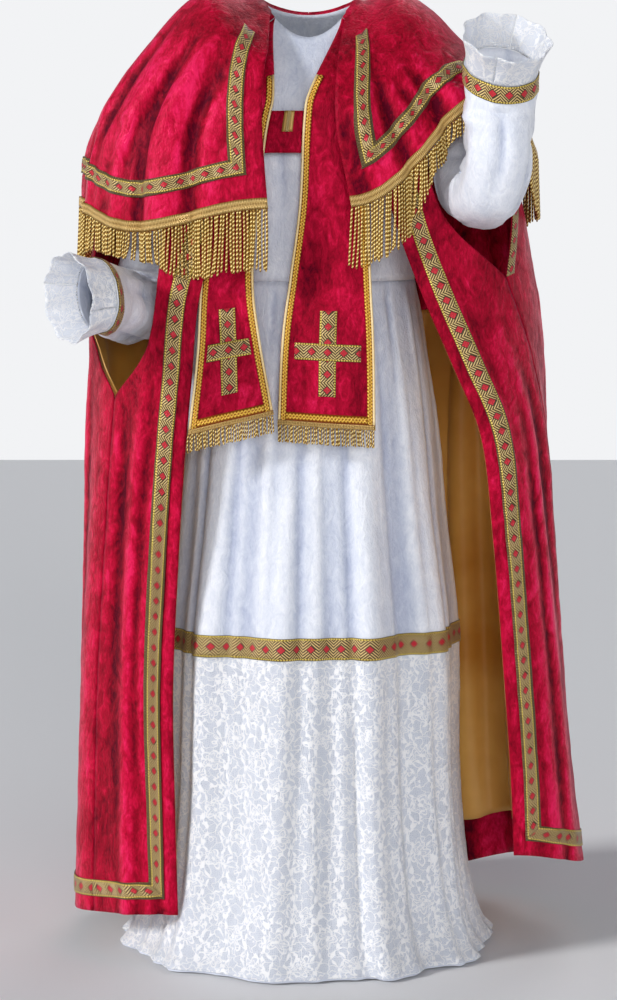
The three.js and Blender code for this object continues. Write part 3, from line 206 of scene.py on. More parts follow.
# Creases of the skirt's gathers below the waist, and softer ones further down.
SKIRT_CREASES = (
    Fold(-0.4, 0.018, -4, 0.0, 0.04, 0.3, 0.01),
    Fold(-0.36, 0.02, 4, 0.0, 0.05, 0.4, -0.01),
    Fold(-0.29, 0.022, -6, 0.0, 0.2, None, 0.02),
    Fold(-0.22, 0.018, 5, 0.05, 0.3, 0.9, -0.01),
    Fold(-0.19, 0.02, -7, 0.1, 0.4, None, 0.01),
    Fold(-0.11, 0.022, 5, 0.0, 0.15, 0.7, 0.02),
    Fold(-0.02, 0.02, -5, 0.02, 0.3, 1.2, -0.02),
    Fold(0.02, 0.018, 4, 0.1, 0.35, 0.8, 0.01),
    Fold(0.1, 0.02, -8, 0.15, 0.45, None, 0.01),
    Fold(0.17, 0.018, 4, 0.0, 0.1, 0.6, -0.02),
    Fold(0.21, 0.022, -7, 0.05, 0.3, None, 0.02),
    Fold(0.28, 0.02, 6, 0.0, 0.2, None, 0.01),
    Fold(0.37, 0.02, -6, 0.0, 0.25, None, -0.01),
    Fold(0.49, 0.025, 6, 0.0, 0.3, None, 0.01),
    Fold(0.61, 0.022, -6, 0.0, 0.25, None, 0.01),
    Fold(0.74, 0.025, 6, 0.05, 0.3, None, -0.01),
    Fold(0.86, 0.022, -7, 0.0, 0.25, None, 0.01),
    Fold(1.0, 0.025, 6, 0.0, 0.3, None, 0.01),
    Fold(-0.92, 0.022, -6, 0.0, 0.25, None, -0.01),
    Fold(-0.79, 0.025, 6, 0.05, 0.3, None, 0.01),
    Fold(-0.66, 0.022, -7, 0.0, 0.25, None, 0.01),
    Fold(-0.52, 0.025, 6, 0.0, 0.3, None, -0.01),
    Fold(-0.29, 0.016, -5, 0.0, 0.05, 0.36, 0.02),
    Fold(-0.2, 0.018, 4, 0.0, 0.06, 0.44, -0.01),
    Fold(-0.11, 0.016, -4, 0.0, 0.05, 0.3, 0.0),
    Fold(-0.02, 0.02, 4, 0.0, 0.05, 0.5, 0.02),
    Fold(0.09, 0.017, -5, 0.0, 0.06, 0.42, 0.02),
    Fold(0.19, 0.02, 5, 0.0, 0.05, 0.5, 0.01),
    Fold(0.27, 0.016, -5, 0.0, 0.05, 0.4, 0.02),
    Fold(0.36, 0.02, 4, 0.0, 0.06, 0.48, 0.01),
    Fold(0.46, 0.018, -4, 0.0, 0.05, 0.34, 0.0),
    Fold(0.52, 0.02, 4, 0.0, 0.05, 0.44, 0.01),
    Fold(0.61, 0.018, -5, 0.0, 0.06, 0.4, 0.01),
    Fold(0.73, 0.02, 5, 0.0, 0.05, 0.5, -0.01),
    Fold(0.85, 0.018, -4, 0.0, 0.05, 0.36, 0.01),
    Fold(0.97, 0.02, 4, 0.0, 0.06, 0.46, 0.0),
    Fold(-0.9, 0.018, -4, 0.0, 0.05, 0.4, 0.01),
    Fold(-0.79, 0.02, 5, 0.0, 0.05, 0.5, -0.01),
    Fold(-0.67, 0.018, -5, 0.0, 0.06, 0.36, 0.01),
    Fold(-0.54, 0.02, 4, 0.0, 0.05, 0.44, 0.0),
    Fold(-0.31, 0.022, 5, 0.5, 0.75, None, 0.02),
    Fold(-0.2, 0.02, -5, 0.55, 0.8, None, -0.02),
    Fold(-0.1, 0.024, 5, 0.52, 0.8, None, 0.02),
    Fold(0.01, 0.02, 4, 0.55, 0.85, None, 0.02),
    Fold(0.1, 0.022, -5, 0.56, 0.8, None, 0.02),
    Fold(0.19, 0.02, 5, 0.52, 0.85, None, -0.02),
    Fold(0.28, 0.024, 6, 0.55, 0.8, None, 0.02),
    Fold(0.38, 0.02, -4, 0.55, 0.85, None, 0.01),
    Fold(0.62, 0.024, 5, 0.5, 0.8, None, 0.02),
    Fold(0.74, 0.02, -5, 0.55, 0.8, None, 0.01),
    Fold(0.86, 0.024, 5, 0.5, 0.8, None, 0.02),
    Fold(-0.91, 0.02, -5, 0.55, 0.8, None, 0.01),
    Fold(-0.79, 0.024, 5, 0.5, 0.8, None, -0.02),
    Fold(-0.66, 0.02, -4, 0.55, 0.8, None, 0.01),
    Fold(-0.53, 0.024, 5, 0.5, 0.8, None, 0.02),
    Fold(-0.39, 0.02, -5, 0.55, 0.85, None, 0.01),
)

CAPE = {
    1: (
        Level(0, (58, -88, 1478), (84, 2, 1545), (80, 1532)),
        Level(0.06, (72, -130, 1440), (165, 0, 1521), (118, 1495)),
        Level(0.13, (88, -160, 1380), (228, -4, 1470), (150, 1430)),
        Level(0.22, (112, -176, 1280), (305, -6, 1368), (178, 1325)),
        Level(0.3, (138, -184, 1180), (338, -8, 1250), (198, 1215)),
        Level(0.38, (176, -190, 1078), (362, -5, 1130), (215, 1100)),
        Level(0.46, (225, -190, 965), (382, 0, 1015), (232, 975)),
        Level(0.55, (272, -186, 850), (392, 0, 885), (250, 850)),
        Level(0.66, (293, -176, 690), (402, 0, 715), (275, 680)),
        Level(0.78, (311, -166, 490), (420, 0, 500), (300, 460)),
        Level(0.9, (326, -156, 300), (440, 0, 285), (325, 200)),
        Level(1, (333, -150, 163), (461, 0, 126), (345, 4)),
    ),
    -1: (
        Level(0, (58, -88, 1478), (84, 2, 1545), (80, 1532)),
        Level(0.06, (72, -130, 1440), (165, 0, 1521), (118, 1495)),
        Level(0.13, (90, -158, 1380), (232, -4, 1472), (150, 1430)),
        Level(0.22, (112, -172, 1280), (308, -6, 1372), (178, 1325)),
        Level(0.3, (140, -180, 1180), (339, -8, 1250), (198, 1215)),
        Level(0.38, (172, -185, 1065), (352, -8, 1125), (215, 1100)),
        Level(0.46, (184, -186, 940), (358, -5, 1005), (232, 975)),
        Level(0.55, (195, -187, 820), (362, 0, 870), (250, 850)),
        Level(0.66, (206, -190, 655), (365, 0, 690), (275, 680)),
        Level(0.78, (216, -194, 440), (374, 0, 465), (300, 460)),
        Level(0.9, (213, -204, 240), (384, 0, 235), (325, 200)),
        Level(1, (209, -216, 81), (389, -10, 62), (345, 4)),
    ),
}
CAPE_FOLDS = (
    Fold(0.12, 0.08, 10, 0.4, 0.8),
    Fold(0.27, 0.07, -12, 0.38, 0.7),
    Fold(0.42, 0.08, 14, 0.3, 0.8),
    Fold(0.58, 0.08, 20, 0.2, 0.8),
    Fold(0.7, 0.06, -12, 0.3, 0.8),
    Fold(0.83, 0.08, 22, 0.15, 0.8),
    Fold(0.95, 0.06, -12, 0.2, 0.9),
    Fold(-0.93, 0.08, 20, 0.15, 0.8),
    Fold(-0.8, 0.06, -12, 0.3, 0.8),
    Fold(-0.67, 0.08, 22, 0.2, 0.8),
    Fold(-0.52, 0.07, 14, 0.25, 0.8),
    Fold(-0.36, 0.08, -12, 0.42, 0.75),
    Fold(-0.22, 0.08, 12, 0.42, 0.8),
)

# Creases of the cape: pulled ones below the raised arm, long soft ones down the back.
CAPE_CREASES = (
    Fold(0.16, 0.03, -6.4, 0.42, 0.55, 0.85, 0.02),
    Fold(0.05, 0.03, 6.4, 0.3, 0.45, 0.75, 0.02),
    Fold(0.2, 0.025, 6.4, 0.5, 0.62, 0.9, -0.03),
    Fold(0.34, 0.03, -9.6, 0.35, 0.5, 0.9, -0.02),
    Fold(0.48, 0.025, -9.6, 0.25, 0.5, 0.95, 0.02),
    Fold(0.53, 0.03, 11.2, 0.2, 0.5, 1.4, 0.01),
    Fold(0.64, 0.028, -12.8, 0.25, 0.6, 1.4, 0.02),
    Fold(0.76, 0.03, -12.8, 0.2, 0.5, 1.4, -0.02),
    Fold(0.88, 0.03, -12.8, 0.25, 0.6, 1.4, 0.02),
    Fold(0.99, 0.03, 14.4, 0.2, 0.6, 1.4, 0.0),
    Fold(-0.88, 0.03, -12.8, 0.25, 0.6, 1.4, 0.02),
    Fold(-0.75, 0.03, 12.8, 0.2, 0.6, 1.4, -0.01),
    Fold(-0.61, 0.028, -12.8, 0.25, 0.6, 1.4, 0.01),
    Fold(-0.45, 0.03, -11.2, 0.3, 0.6, 1.4, 0.01),
    Fold(-0.3, 0.025, 8, 0.4, 0.6, 0.95, 0.02),
    Fold(-0.1, 0.025, 7, 0.42, 0.6, None, 0.01),
    Fold(-0.035, 0.02, -5, 0.45, 0.7, None, 0.0),
    Fold(0.11, 0.025, -7, 0.45, 0.65, None, 0.01),
    Fold(-0.14, 0.025, -6.4, 0.45, 0.62, 0.9, 0.02),
    Fold(-0.06, 0.03, 6.4, 0.5, 0.7, 0.95, -0.02),
)

# Folds of the satin lining, which hangs slacker than the velvet.
LINING_FOLDS = (
    Fold(0.08, 0.035, -7, 0.4, 0.6),
    Fold(0.17, 0.04, -11, 0.42, 0.65),
    Fold(0.3, 0.04, -12, 0.42, 0.7),
    Fold(0.4, 0.03, -9, 0.45, 0.7),
    Fold(0.5, 0.04, -13, 0.42, 0.7),
    Fold(0.63, 0.035, -10, 0.42, 0.7),
    Fold(0.76, 0.04, -13, 0.42, 0.7),
    Fold(0.9, 0.035, -10, 0.45, 0.7),
    Fold(-0.96, 0.04, -13, 0.42, 0.7),
    Fold(-0.82, 0.035, -10, 0.42, 0.7),
    Fold(-0.7, 0.04, -12, 0.42, 0.7),
    Fold(-0.55, 0.035, -10, 0.45, 0.7),
    Fold(-0.4, 0.04, -12, 0.42, 0.7),
    Fold(-0.25, 0.035, -9, 0.45, 0.7),
    Fold(-0.1, 0.03, -8, 0.5, 0.7),
)

CAPE_SEAM = {1: 0.2, -1: 0.178}
Slit = namedtuple("Slit", "at front back")
SLITS = {
    1: (
        Slit(0.12, 0.2, 0.2),
        Slit(0.165, 0.12, 0.29),
        Slit(0.24, 0.1, 0.345),
        Slit(0.31, 0.115, 0.31),
        Slit(0.385, 0.2, 0.2),
    ),
    -1: (
        Slit(0.12, 0.178, 0.178),
        Slit(0.24, 0.16, 0.2),
        Slit(0.34, 0.105, 0.3),
        Slit(0.43, 0.1, 0.34),
        Slit(0.505, 0.178, 0.178),
    ),
}
# Where the lining starts and ends, as shares of the cape's depth, and how slack it hangs in mm.
LINING_TOP = 0.43
LINING_LOW = 0.955
LINING_SLACK = 8
# The middle of the skirt's braid band and the end of the flounce, as shares of the skirt's depth.
BAND_AT = 0.532
SKIRT_END = 0.997
# How far inside the skirt's surface the underskirt hangs.
UNDERSKIRT_INSIDE = 5
# The armholes, as shares of a bodice panel.
ARMHOLE = {"inset": 0.11, "top": 0.365, "low": 0.62}
EDGE_INSET = 20
HEM_BRAID = 25
SLIT_BRAID = {"from": 0.165, "to": 0.385, "wide": 20}
CAPE_BRAID_TOP = 0.12

SHOULDER_CAPE = {
    1: (
        Level(0, (52, -92, 1482), (88, 2, 1550), (84, 1537)),
        Level(0.14, (46, -138, 1440), (172, 0, 1542), (130, 1498)),
        Level(0.32, (42, -176, 1385), (252, -4, 1470), (168, 1430), 2, 14),
        Level(0.52, (44, -190, 1328), (320, -6, 1398), (194, 1345), 2, 52),
        Level(0.76, (56, -198, 1266), (352, -8, 1340), (212, 1245), 2, 98),
        Level(1, (67, -204, 1209), (366, -8, 1286), (228, 1150), 2, 134),
    ),
    -1: (
        Level(0, (52, -92, 1482), (88, 2, 1550), (84, 1537)),
        Level(0.14, (66, -142, 1446), (176, 0, 1549), (130, 1498)),
        Level(0.32, (72, -174, 1385), (254, -4, 1474), (168, 1430)),
        Level(0.52, (72, -190, 1328), (320, -6, 1384), (194, 1345), 2, -8),
        Level(0.76, (68, -200, 1266), (352, -8, 1296), (212, 1245), 2, -24),
        Level(1, (63, -206, 1206), (362, -8, 1208), (228, 1150), 2, -38),
    ),
}
SHOULDER_FOLDS = (
    Fold(0.1, 0.07, 6, 0.3, 0.9),
    Fold(0.55, 0.1, 8, 0.3, 0.9),
    Fold(0.8, 0.1, 9, 0.3, 0.9),
    Fold(-0.9, 0.1, 9, 0.3, 0.9),
    Fold(-0.64, 0.1, 9, 0.3, 0.9),
    Fold(-0.4, 0.06, 12, 0.3, 0.8),
    Fold(-0.3, 0.05, -6, 0.35, 0.9),
    Fold(-0.2, 0.07, 8, 0.35, 0.9),
)

# Creases of the shoulder cape: drag lines from the neck, and the folds over each arm.
SHOULDER_CREASES = (
    Fold(-0.12, 0.035, -6.4, 0.15, 0.3, 0.8, -0.1),
    Fold(-0.2, 0.03, 8, 0.1, 0.35, 0.85, -0.08),
    Fold(-0.27, 0.026, -11.2, 0.2, 0.45, 0.95, -0.06),
    Fold(-0.36, 0.024, 9.6, 0.5, 0.7, 1.6, -0.02),
    Fold(-0.41, 0.02, -14.4, 0.55, 0.75, 1.6, -0.01),
    Fold(-0.46, 0.022, 11.2, 0.5, 0.75, 1.6, 0.0),
    Fold(-0.58, 0.035, -9.6, 0.2, 0.5, 1.5, -0.03),
    Fold(-0.75, 0.035, 9.6, 0.2, 0.5, 1.5, 0.02),
    Fold(-0.95, 0.04, -9.6, 0.2, 0.6, 1.5, 0.01),
    Fold(0.05, 0.03, 4.8, 0.3, 0.5, 0.95, 0.03),
    Fold(0.16, 0.03, -8, 0.2, 0.5, 1.0, 0.05),
    Fold(0.24, 0.024, 9.6, 0.35, 0.6, 1.4, 0.03),
    Fold(0.31, 0.022, -11.2, 0.4, 0.65, 1.5, 0.02),
    Fold(0.4, 0.03, 8, 0.3, 0.6, 1.5, 0.0),
    Fold(0.63, 0.035, -9.6, 0.2, 0.5, 1.5, 0.02),
    Fold(0.72, 0.035, 8, 0.25, 0.6, 1.5, 0.01),
    Fold(-0.145, 0.03, -12, 0.15, 0.5),
    Fold(-0.25, 0.028, -13, 0.12, 0.45),
    Fold(-0.37, 0.03, -11, 0.15, 0.5),
    Fold(-0.31, 0.03, 6, 0.3, 0.6),
    Fold(0.11, 0.03, -11, 0.12, 0.5),
    Fold(0.2, 0.028, -10, 0.15, 0.55),
    Fold(0.05, 0.02, 4, 0.3, 0.6),
    Fold(0.9, 0.04, -9.6, 0.2, 0.6, 1.5, 0.0),
)
SHOULDER_BRAID = {"inset": 29, "above": 55}

Drop = namedtuple("Drop", "at drop")
SHOULDER_DROP = {
    1: (
        Drop(0, 95),
        Drop(0.12, 92),
        Drop(0.17, 44),
        Drop(0.27, 34),
        Drop(0.34, 60),
        Drop(0.4, 95),
        Drop(1, 95),
    ),
    -1: (Drop(0, 95), Drop(0.15, 90), Drop(0.22, 50), Drop(0.36, 50), Drop(0.44, 88), Drop(1, 95)),
}

# The stole's panels: each level gives its two edges (x, z) and its depth.
StoleLevel = namedtuple("StoleLevel", "at left_x left_z right_x right_z y")
STOLE = {
    1: (
        StoleLevel(0, 4, 1450, 94, 1450, -134),
        StoleLevel(0.18, -8, 1345, 90, 1345, -152),
        StoleLevel(0.4, -15, 1213, 94, 1213, -160),
        StoleLevel(0.61, -31, 1093, 99, 1093, -168),
        StoleLevel(0.78, -43, 998, 104, 992, -180),
        StoleLevel(1, -49, 868, 106, 858, -192),
    ),
    -1: (
        StoleLevel(0, -104, 1450, -30, 1450, -134),
        StoleLevel(0.18, -128, 1345, -62, 1345, -145),
        StoleLevel(0.4, -152, 1213, -78, 1213, -157),
        StoleLevel(0.61, -170, 1086, -87, 1093, -170),
        StoleLevel(0.78, -176, 980, -76, 998, -183),
        StoleLevel(1, -190, 852, -55, 884, -202),
    ),
}
STOLE_BELLY = 4
STOLE_RISE = 16
STOLE_SEAT = {"gap": 0.006, "depth": 0.14}
NECK_PIECE = {"starts": 0.3, "ends": 1.7, "depth": 0.24}
NECK_EASE = {"start": 0.34, "depth": 0.12}
CROSS = {"reach": 52, "clear_of_gimp": 4, "top": 184, "arms": 132, "foot": 49}
GIMP_LOW = 8
GIMP_TOP_SHARE = 0.09
# The short cords under each stole panel, in mm.
STOLE_FRINGE = {"spacing": 3.4, "width": 2.6, "drop": 28.0}
CHEST_BAND = {"top": 0.155, "low": 0.265, "strip": (0.42, 0.72), "gap": 0.012}

# The arms: +X is raised, -X reaches forward, and each cuff faces its own way.
ARMS = {
    "raised": {
        "side": 1,
        "shoulder": (220, -16, 1376),
        "elbow": (292, -235, 1108),
        "wrist": (298, -222, 1425),
        "bend": 66,
        "cuff_facing": (0.12, -0.55, 0.8),
    },
    "lowered": {
        "side": -1,
        "shoulder": (-222, -2, 1380),
        "elbow": (-266, 14, 1030),
        "wrist": (-326, -262, 1074),
        "bend": 72,
        "cuff_facing": (-0.8, -0.6, -0.05),
    },
}
Width = namedtuple("Width", "at wide")
SLEEVE_WIDTHS = (Width(0, 54), Width(0.12, 51), Width(0.4, 52), Width(0.6, 56), Width(0.8, 56), Width(1, 56))
CUFF_LACE = (Width(0, 56), Width(0.5, 60), Width(1, 68))
CUFF_LACE_LENGTH = 54
CUFF_TURN = {"from": 0.1, "full": 0.85}


def mix(start, end, share):
    """A number or vector between two others."""
    return start + (end - start) * share


def soft_step(value):
    """A soft step from 0 to 1."""
    t = min(max(value, 0.0), 1.0)
    return t * t * (3 - 2 * t)


def read(rows, column, at, index=None):
    """A named column of a table between its rows, on a smooth curve through them."""

    def value(row):
        cell = getattr(rows[row], column)
        return cell if index is None else cell[index]

    last = len(rows) - 1
    place = min(max(at, rows[0].at), rows[last].at)
    k = 0
    while k < last - 1 and place > rows[k + 1].at:
        k += 1

    def slope(row):
        before, after = max(row - 1, 0), min(row + 1, last)
        return (value(after) - value(before)) / (rows[after].at - rows[before].at)

    span = rows[k + 1].at - rows[k].at
    t = (place - rows[k].at) / span
    rise = value(k + 1) - value(k)
    enter = slope(k) * span - rise
    leave = -slope(k + 1) * span + rise
    return value(k) + t * rise + t * (1 - t) * ((1 - t) * enter + t * leave)


def spread(start, end, steps):
    """Evenly spaced numbers from one to another."""
    return [mix(start, end, k / steps) for k in range(steps + 1)]


def fold_field(folds, around, at):
    """How far the folds of a table stand out over a lattice of places."""
    depth = np.zeros_like(around + at)
    for fold in folds:
        centre = fold.around + fold.drift * (at - fold.full)
        away = np.abs((around - centre + 1) % 2 - 1) / fold.wide
        rise = np.clip((at - fold.start) / (fold.full - fold.start), 0, 1)
        rise = rise * rise * (3 - 2 * rise)
        if fold.end is not None:
            fall = np.clip((fold.end - at) / (fold.end - fold.full), 0, 1)
            rise = rise * fall * fall * (3 - 2 * fall)
        depth += fold.deep * rise * np.where(away < 1, np.cos(np.pi / 2 * np.minimum(away, 1)) ** 2, 0)
    return depth


class Half:
    """Half a garment as a lattice of points. Share 0 is its front edge and 1 its back centre;
    at 0 is its top and 1 its hem."""

    ROWS = 220
    COLUMNS = 170
    TURN_STEPS = 28

    def __init__(self, rows, side, folds=(), crumple=0.0, ease=None):
        self.side = side
        shares = np.linspace(0, 1, self.COLUMNS + 1)
        points = np.array([self.section(rows, at, shares) for at in np.linspace(0, 1, self.ROWS + 1)])
        self.lengths = np.linalg.norm(np.diff(points, axis=1), axis=2).sum(axis=1)
        across = np.gradient(points, axis=1)
        run = np.maximum(np.hypot(across[..., 0], across[..., 1]), 1e-6)
        at = np.linspace(0, 1, self.ROWS + 1)[:, None]
        out = fold_field(folds, side * shares[None, :], at)
        if crumple:
            out = out + crumple * self.crumpled(points)
        points[..., 0] += across[..., 1] / run * out
        points[..., 1] -= across[..., 0] / run * out
        points[..., 0] *= side
        if ease:
            points = ease(self, points, shares)
        self.points = points

    def section(self, rows, at, shares):
        """One level, its points evenly spaced along the cloth."""
        edge = [read(rows, "edge", at, k) for k in range(3)]
        side = [read(rows, "side", at, k) for k in range(3)]
        back_y, back_z = (read(rows, "back", at, k) for k in range(2))
        square, arch = read(rows, "square", at), read(rows, "arch", at)
        angle = np.linspace(0, np.pi / 2, self.TURN_STEPS + 1)
        sine = np.abs(np.sin(angle)) ** (2 / square)
        cosine = np.abs(np.cos(angle)) ** (2 / square)
        lift = np.sin(angle) ** 2
        front = np.stack(
            [
                edge[0] + (side[0] - edge[0]) * sine,
                side[1] + (edge[1] - side[1]) * cosine,
                mix(edge[2], side[2], lift) + arch * np.sin(2 * angle) ** 2,
            ],
            axis=1,
        )
        behind = np.stack(
            [side[0] * cosine, side[1] + (back_y - side[1]) * sine, mix(side[2], back_z, lift)], axis=1
        )
        outline = np.concatenate([front, behind[1:]])
        gone = np.concatenate([[0], np.cumsum(np.linalg.norm(np.diff(outline, axis=0), axis=1))])
        return np.stack([np.interp(shares * gone[-1], gone, outline[:, k]) for k in range(3)], axis=1)

    def crumpled(self, points):
        """The fine uneven surface of crushed cloth, from -1 to 1."""
        field = np.empty(points.shape[:2])
        for j, row in enumerate(points):
            for i, (x, y, z) in enumerate(row):
                place = Vector((x * self.side, y, z))
                field[j, i] = noise.noise(place * 0.034) + 0.6 * noise.noise(place * 0.085)
        return field

    def place(self, share, at):
        """The point at a share of the length and of the depth."""
        column = min(max(share, 0.0), 1.0) * self.COLUMNS
        row = min(max(at, 0.0), 1.0) * self.ROWS
        i, j = min(int(column), self.COLUMNS - 1), min(int(row), self.ROWS - 1)
        u, v = column - i, row - j
        top = self.points[j, i] * (1 - u) + self.points[j, i + 1] * u
        low = self.points[j + 1, i] * (1 - u) + self.points[j + 1, i + 1] * u
        return top * (1 - v) + low * v

    def length(self, at):
        return float(np.interp(at * self.ROWS, np.arange(self.ROWS + 1), self.lengths))

    def above_hem(self, share, height):
        """The place that lies so many millimetres above the hem, measured on the cloth."""
        at, gone, step = 1.0, 0.0, 1 / self.ROWS
        point = self.place(share, 1)
        while gone < height:
            above = self.place(share, at - step)
            run = float(np.linalg.norm(above - point))
            if gone + run >= height:
                return at - step * (height - gone) / run
            gone += run
            at -= step
            point = above
        return at


def whole(halves, around, at):
    """A place on a whole garment: 0 to 1 on the +X side, 1 to 2 and below 0 on the -X side."""
    if around > 1:
        return halves[-1].place(2 - around, at)
    if around < 0:
        return halves[-1].place(-around, at)
    return halves[1].place(around, at)


def outward(surface, around, at, nudge=0.004):
    """The outward direction of a surface at a place."""
    across = surface(around + nudge, at) - surface(around - nudge, at)
    down = surface(around, min(at + nudge, 1)) - surface(around, max(at - nudge, 0))
    direction = np.cross(down, across)
    return direction / max(np.linalg.norm(direction), 1e-9)


def ease_onto_neck(bodice, lift):
    """Eases a garment's top edge onto the neck ring, `lift` off the alb."""

    def neck(around, at):
        return whole(bodice, around, at)

    def ease(half, points, shares):
        seats = []
        for share in shares:
            ring = half.side * mix(NECK_EASE["start"], 1, share)
            seats.append(neck(ring, 0) + outward(neck, ring, 0) * lift)
        shift = np.array(seats) - points[0]
        fade = [1 - soft_step(at / NECK_EASE["depth"]) for at in np.linspace(0, 1, half.ROWS + 1)]
        return points + shift[None, :, :] * np.array(fade)[:, None, None]

    return ease


class Drape:
    """The surfaces that every piece of the costume is laid on."""

    def __init__(self, crumple):
        self.bodice = {side: Half(BODICE, side, BODICE_FOLDS, 0.6 * crumple) for side in (1, -1)}
        self.skirt = {side: Half(SKIRT, side, SKIRT_FOLDS + SKIRT_CREASES, 0.7 * crumple) for side in (1, -1)}
        stole_lift = ALB_CLOTH + SEAM
        cape_lift = stole_lift + VELVET + 2 * SEAM
        ease = ease_onto_neck(self.bodice, cape_lift)
        folds = CAPE_FOLDS + CAPE_CREASES
        self.cape = {side: Half(CAPE[side], side, folds, crumple, ease) for side in (1, -1)}
        ease = ease_onto_neck(self.bodice, cape_lift + VELVET + 4 * SEAM)
        folds = SHOULDER_FOLDS + SHOULDER_CREASES
        self.shoulder = {side: Half(SHOULDER_CAPE[side], side, folds, crumple, ease) for side in (1, -1)}


def slit_edge(side, edge, at):
    """Where a cape panel ends at its arm slit, or at the seam below and above it."""
    rows = SLITS[side]
    if rows[0].at < at < rows[-1].at:
        return read(rows, edge, at)
    return CAPE_SEAM[side]


def front_share(halves, side, across, at):
    """A share across a cape front, counted from the left as seen from outside."""
    last = slit_edge(side, "front", at) - SEAM / halves[side].length(at)
    return (across if side == 1 else 1 - across) * last


def back_around(halves, across, at):
    """A place across the cape's back, from one slit or seam round to the other."""
    start = slit_edge(1, "back", at) + SEAM / halves[1].length(at)
    end = 2 - slit_edge(-1, "back", at) - SEAM / halves[-1].length(at)
    return mix(start, end, across)


def stole_place(drape, side):
    """A stole panel's surface, its top edge eased onto the end of the neck piece."""
    rows = STOLE[side]

    def plain(across, at):
        hollow = math.sin(math.pi * min(max(across, 0), 1))
        return np.array(
            [
                mix(read(rows, "left_x", at), read(rows, "right_x", at), across),
                read(rows, "y", at) - STOLE_BELLY * hollow,
                mix(read(rows, "left_z", at), read(rows, "right_z", at), across),
            ]
        )

    end = side * (NECK_PIECE["starts"] - STOLE_SEAT["gap"])

    def bodice(around, at):
        return whole(drape.bodice, around, at)

    def place(across, at):
        point = plain(across, at)
        wave = 2.2 * math.sin(7.5 * across + 3.1 * at + side) * soft_step((at - 0.3) / 0.3)
        point[1] -= wave + 0.8 * noise.noise(Vector(point) * 0.03)
        fade = 1 - soft_step(at / STOLE_SEAT["depth"])
        if fade == 0:
            return point
        depth = NECK_PIECE["depth"] * min(max(across if side == 1 else 1 - across, 0), 1)
        seat = bodice(end, depth) + outward(bodice, end, depth) * (ALB_CLOTH + SEAM)
        point = point + (seat - plain(across, 0)) * fade
        point[1] -= STOLE_RISE * 4 * fade * (1 - fade)
        return point

    return place


# Making cloth.


def to_metres(point):
    return Vector((point[0], point[1], point[2] - HOLD_HEIGHT)) * 0.001


def ridges(points):
    """How far each point of a grid stands out of its neighbours across the cloth, in metres."""
    reach = 4
    padded = np.pad(points, ((0, 0), (reach, reach), (0, 0)), mode="reflect", reflect_type="odd")
    columns = points.shape[1]
    window = range(2 * reach + 1)
    return points - sum(padded[:, k : k + columns] for k in window) / len(window)


def lay_cloth(
    across, down, place, outer=0.0, along="across", bulge=0.0, hole=None, flip=False, closed=False
):
    """A grid of cloth laid on a surface, its outer face `outer` mm off it. `across` runs to the
    right as seen from outside and `down` to the hem. Its UV map is in metres of cloth, with U
    along the piece, and V measured from its middle."""
    columns, rows = len(across) - 1, len(down) - 1
    points = np.array([[to_metres(place(a, d)) for a in across] for d in down])
    bm = bmesh.new()
    bmesh.ops.create_grid(bm, x_segments=columns, y_segments=rows, size=0.5, calc_uvs=False)
    uv_layer = bm.loops.layers.uv.new("cloth")
    widths = np.linalg.norm(np.diff(points, axis=1), axis=2)
    heights = np.linalg.norm(np.diff(points, axis=0), axis=2)
    gone_across = np.concatenate([np.zeros((rows + 1, 1)), np.cumsum(widths, axis=1)], axis=1)
    gone_down = np.concatenate([np.zeros((1, columns + 1)), np.cumsum(heights, axis=0)], axis=0)
    if along == "across":
        u, v = gone_across, gone_down[-1:, :] * 0.5 - gone_down
        u = u - u[:, -1:] * 0.5
    else:
        u, v = gone_down, gone_across - gone_across[:, -1:] * 0.5
    out = ridges(points) if columns > 12 else np.zeros_like(points)
    # How far each point stands out of the cloth, for the velvet's painted highlight on fold ridges and
    # painted shade in fold troughs.
    ridge_layer = bm.verts.layers.float.new("ridge")
    cell = {}
    for vert in bm.verts:
        i = round((vert.co.x + 0.5) * columns)
        j = round((0.5 - vert.co.y) * rows)
        cell[vert] = (i, j)
        vert.co = points[j, i]
    for face in bm.faces:
        for loop in face.loops:
            i, j = cell[loop.vert]
            loop[uv_layer].uv = (u[j, i], v[j, i])
    if closed:
        bmesh.ops.remove_doubles(bm, verts=bm.verts, dist=1e-5)
    if flip:
        bmesh.ops.reverse_faces(bm, faces=bm.faces)
    bm.normal_update()
    for vert in bm.verts:
        i, j = cell[vert]
        lift = outer(across[i], down[j]) if callable(outer) else outer
        share = i / columns if along == "across" else j / rows
        rim = j / rows if along == "across" else i / columns
        proud = bulge * math.sin(math.pi * rim) if bulge else 0.0
        vert[ridge_layer] = max(-1.0, min(1.0, vert.normal.dot(Vector(out[j, i])) / RIDGE_FULL))
        vert.co = vert.co + vert.normal * (lift + proud) * 0.001
    if hole:
        gone = [f for f in bm.faces if hole(*hole_cell(f, cell))]
        bmesh.ops.delete(bm, geom=gone, context="FACES")
    size = {
        "flat": (float(gone_across[:, -1].max()), float(gone_down[-1].max())),
        "area": float((widths[:-1] * 0.5 + widths[1:] * 0.5).sum(axis=1) @ heights.mean(axis=1)),
    }
    return bm, size


def hole_cell(face, cell):
    corners = [cell[v] for v in face.verts]
    return min(i for i, _ in corners), min(j for _, j in corners)


def make_object(title, bm, finish, nodes=()):
    """Turns a bmesh into a smooth-shaded piece of the costume."""
    name = title.replace(" ", "_")
    mesh = bpy.data.meshes.new(name)
    bm.to_mesh(mesh)
    bm.free()
    mesh.shade_smooth()
    mesh.materials.append(finish)
    made = bpy.data.objects.new(name, mesh)
    bpy.context.scene.collection.objects.link(made)
    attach(made, "root")
    if nodes:
        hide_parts(*nodes)
    return made


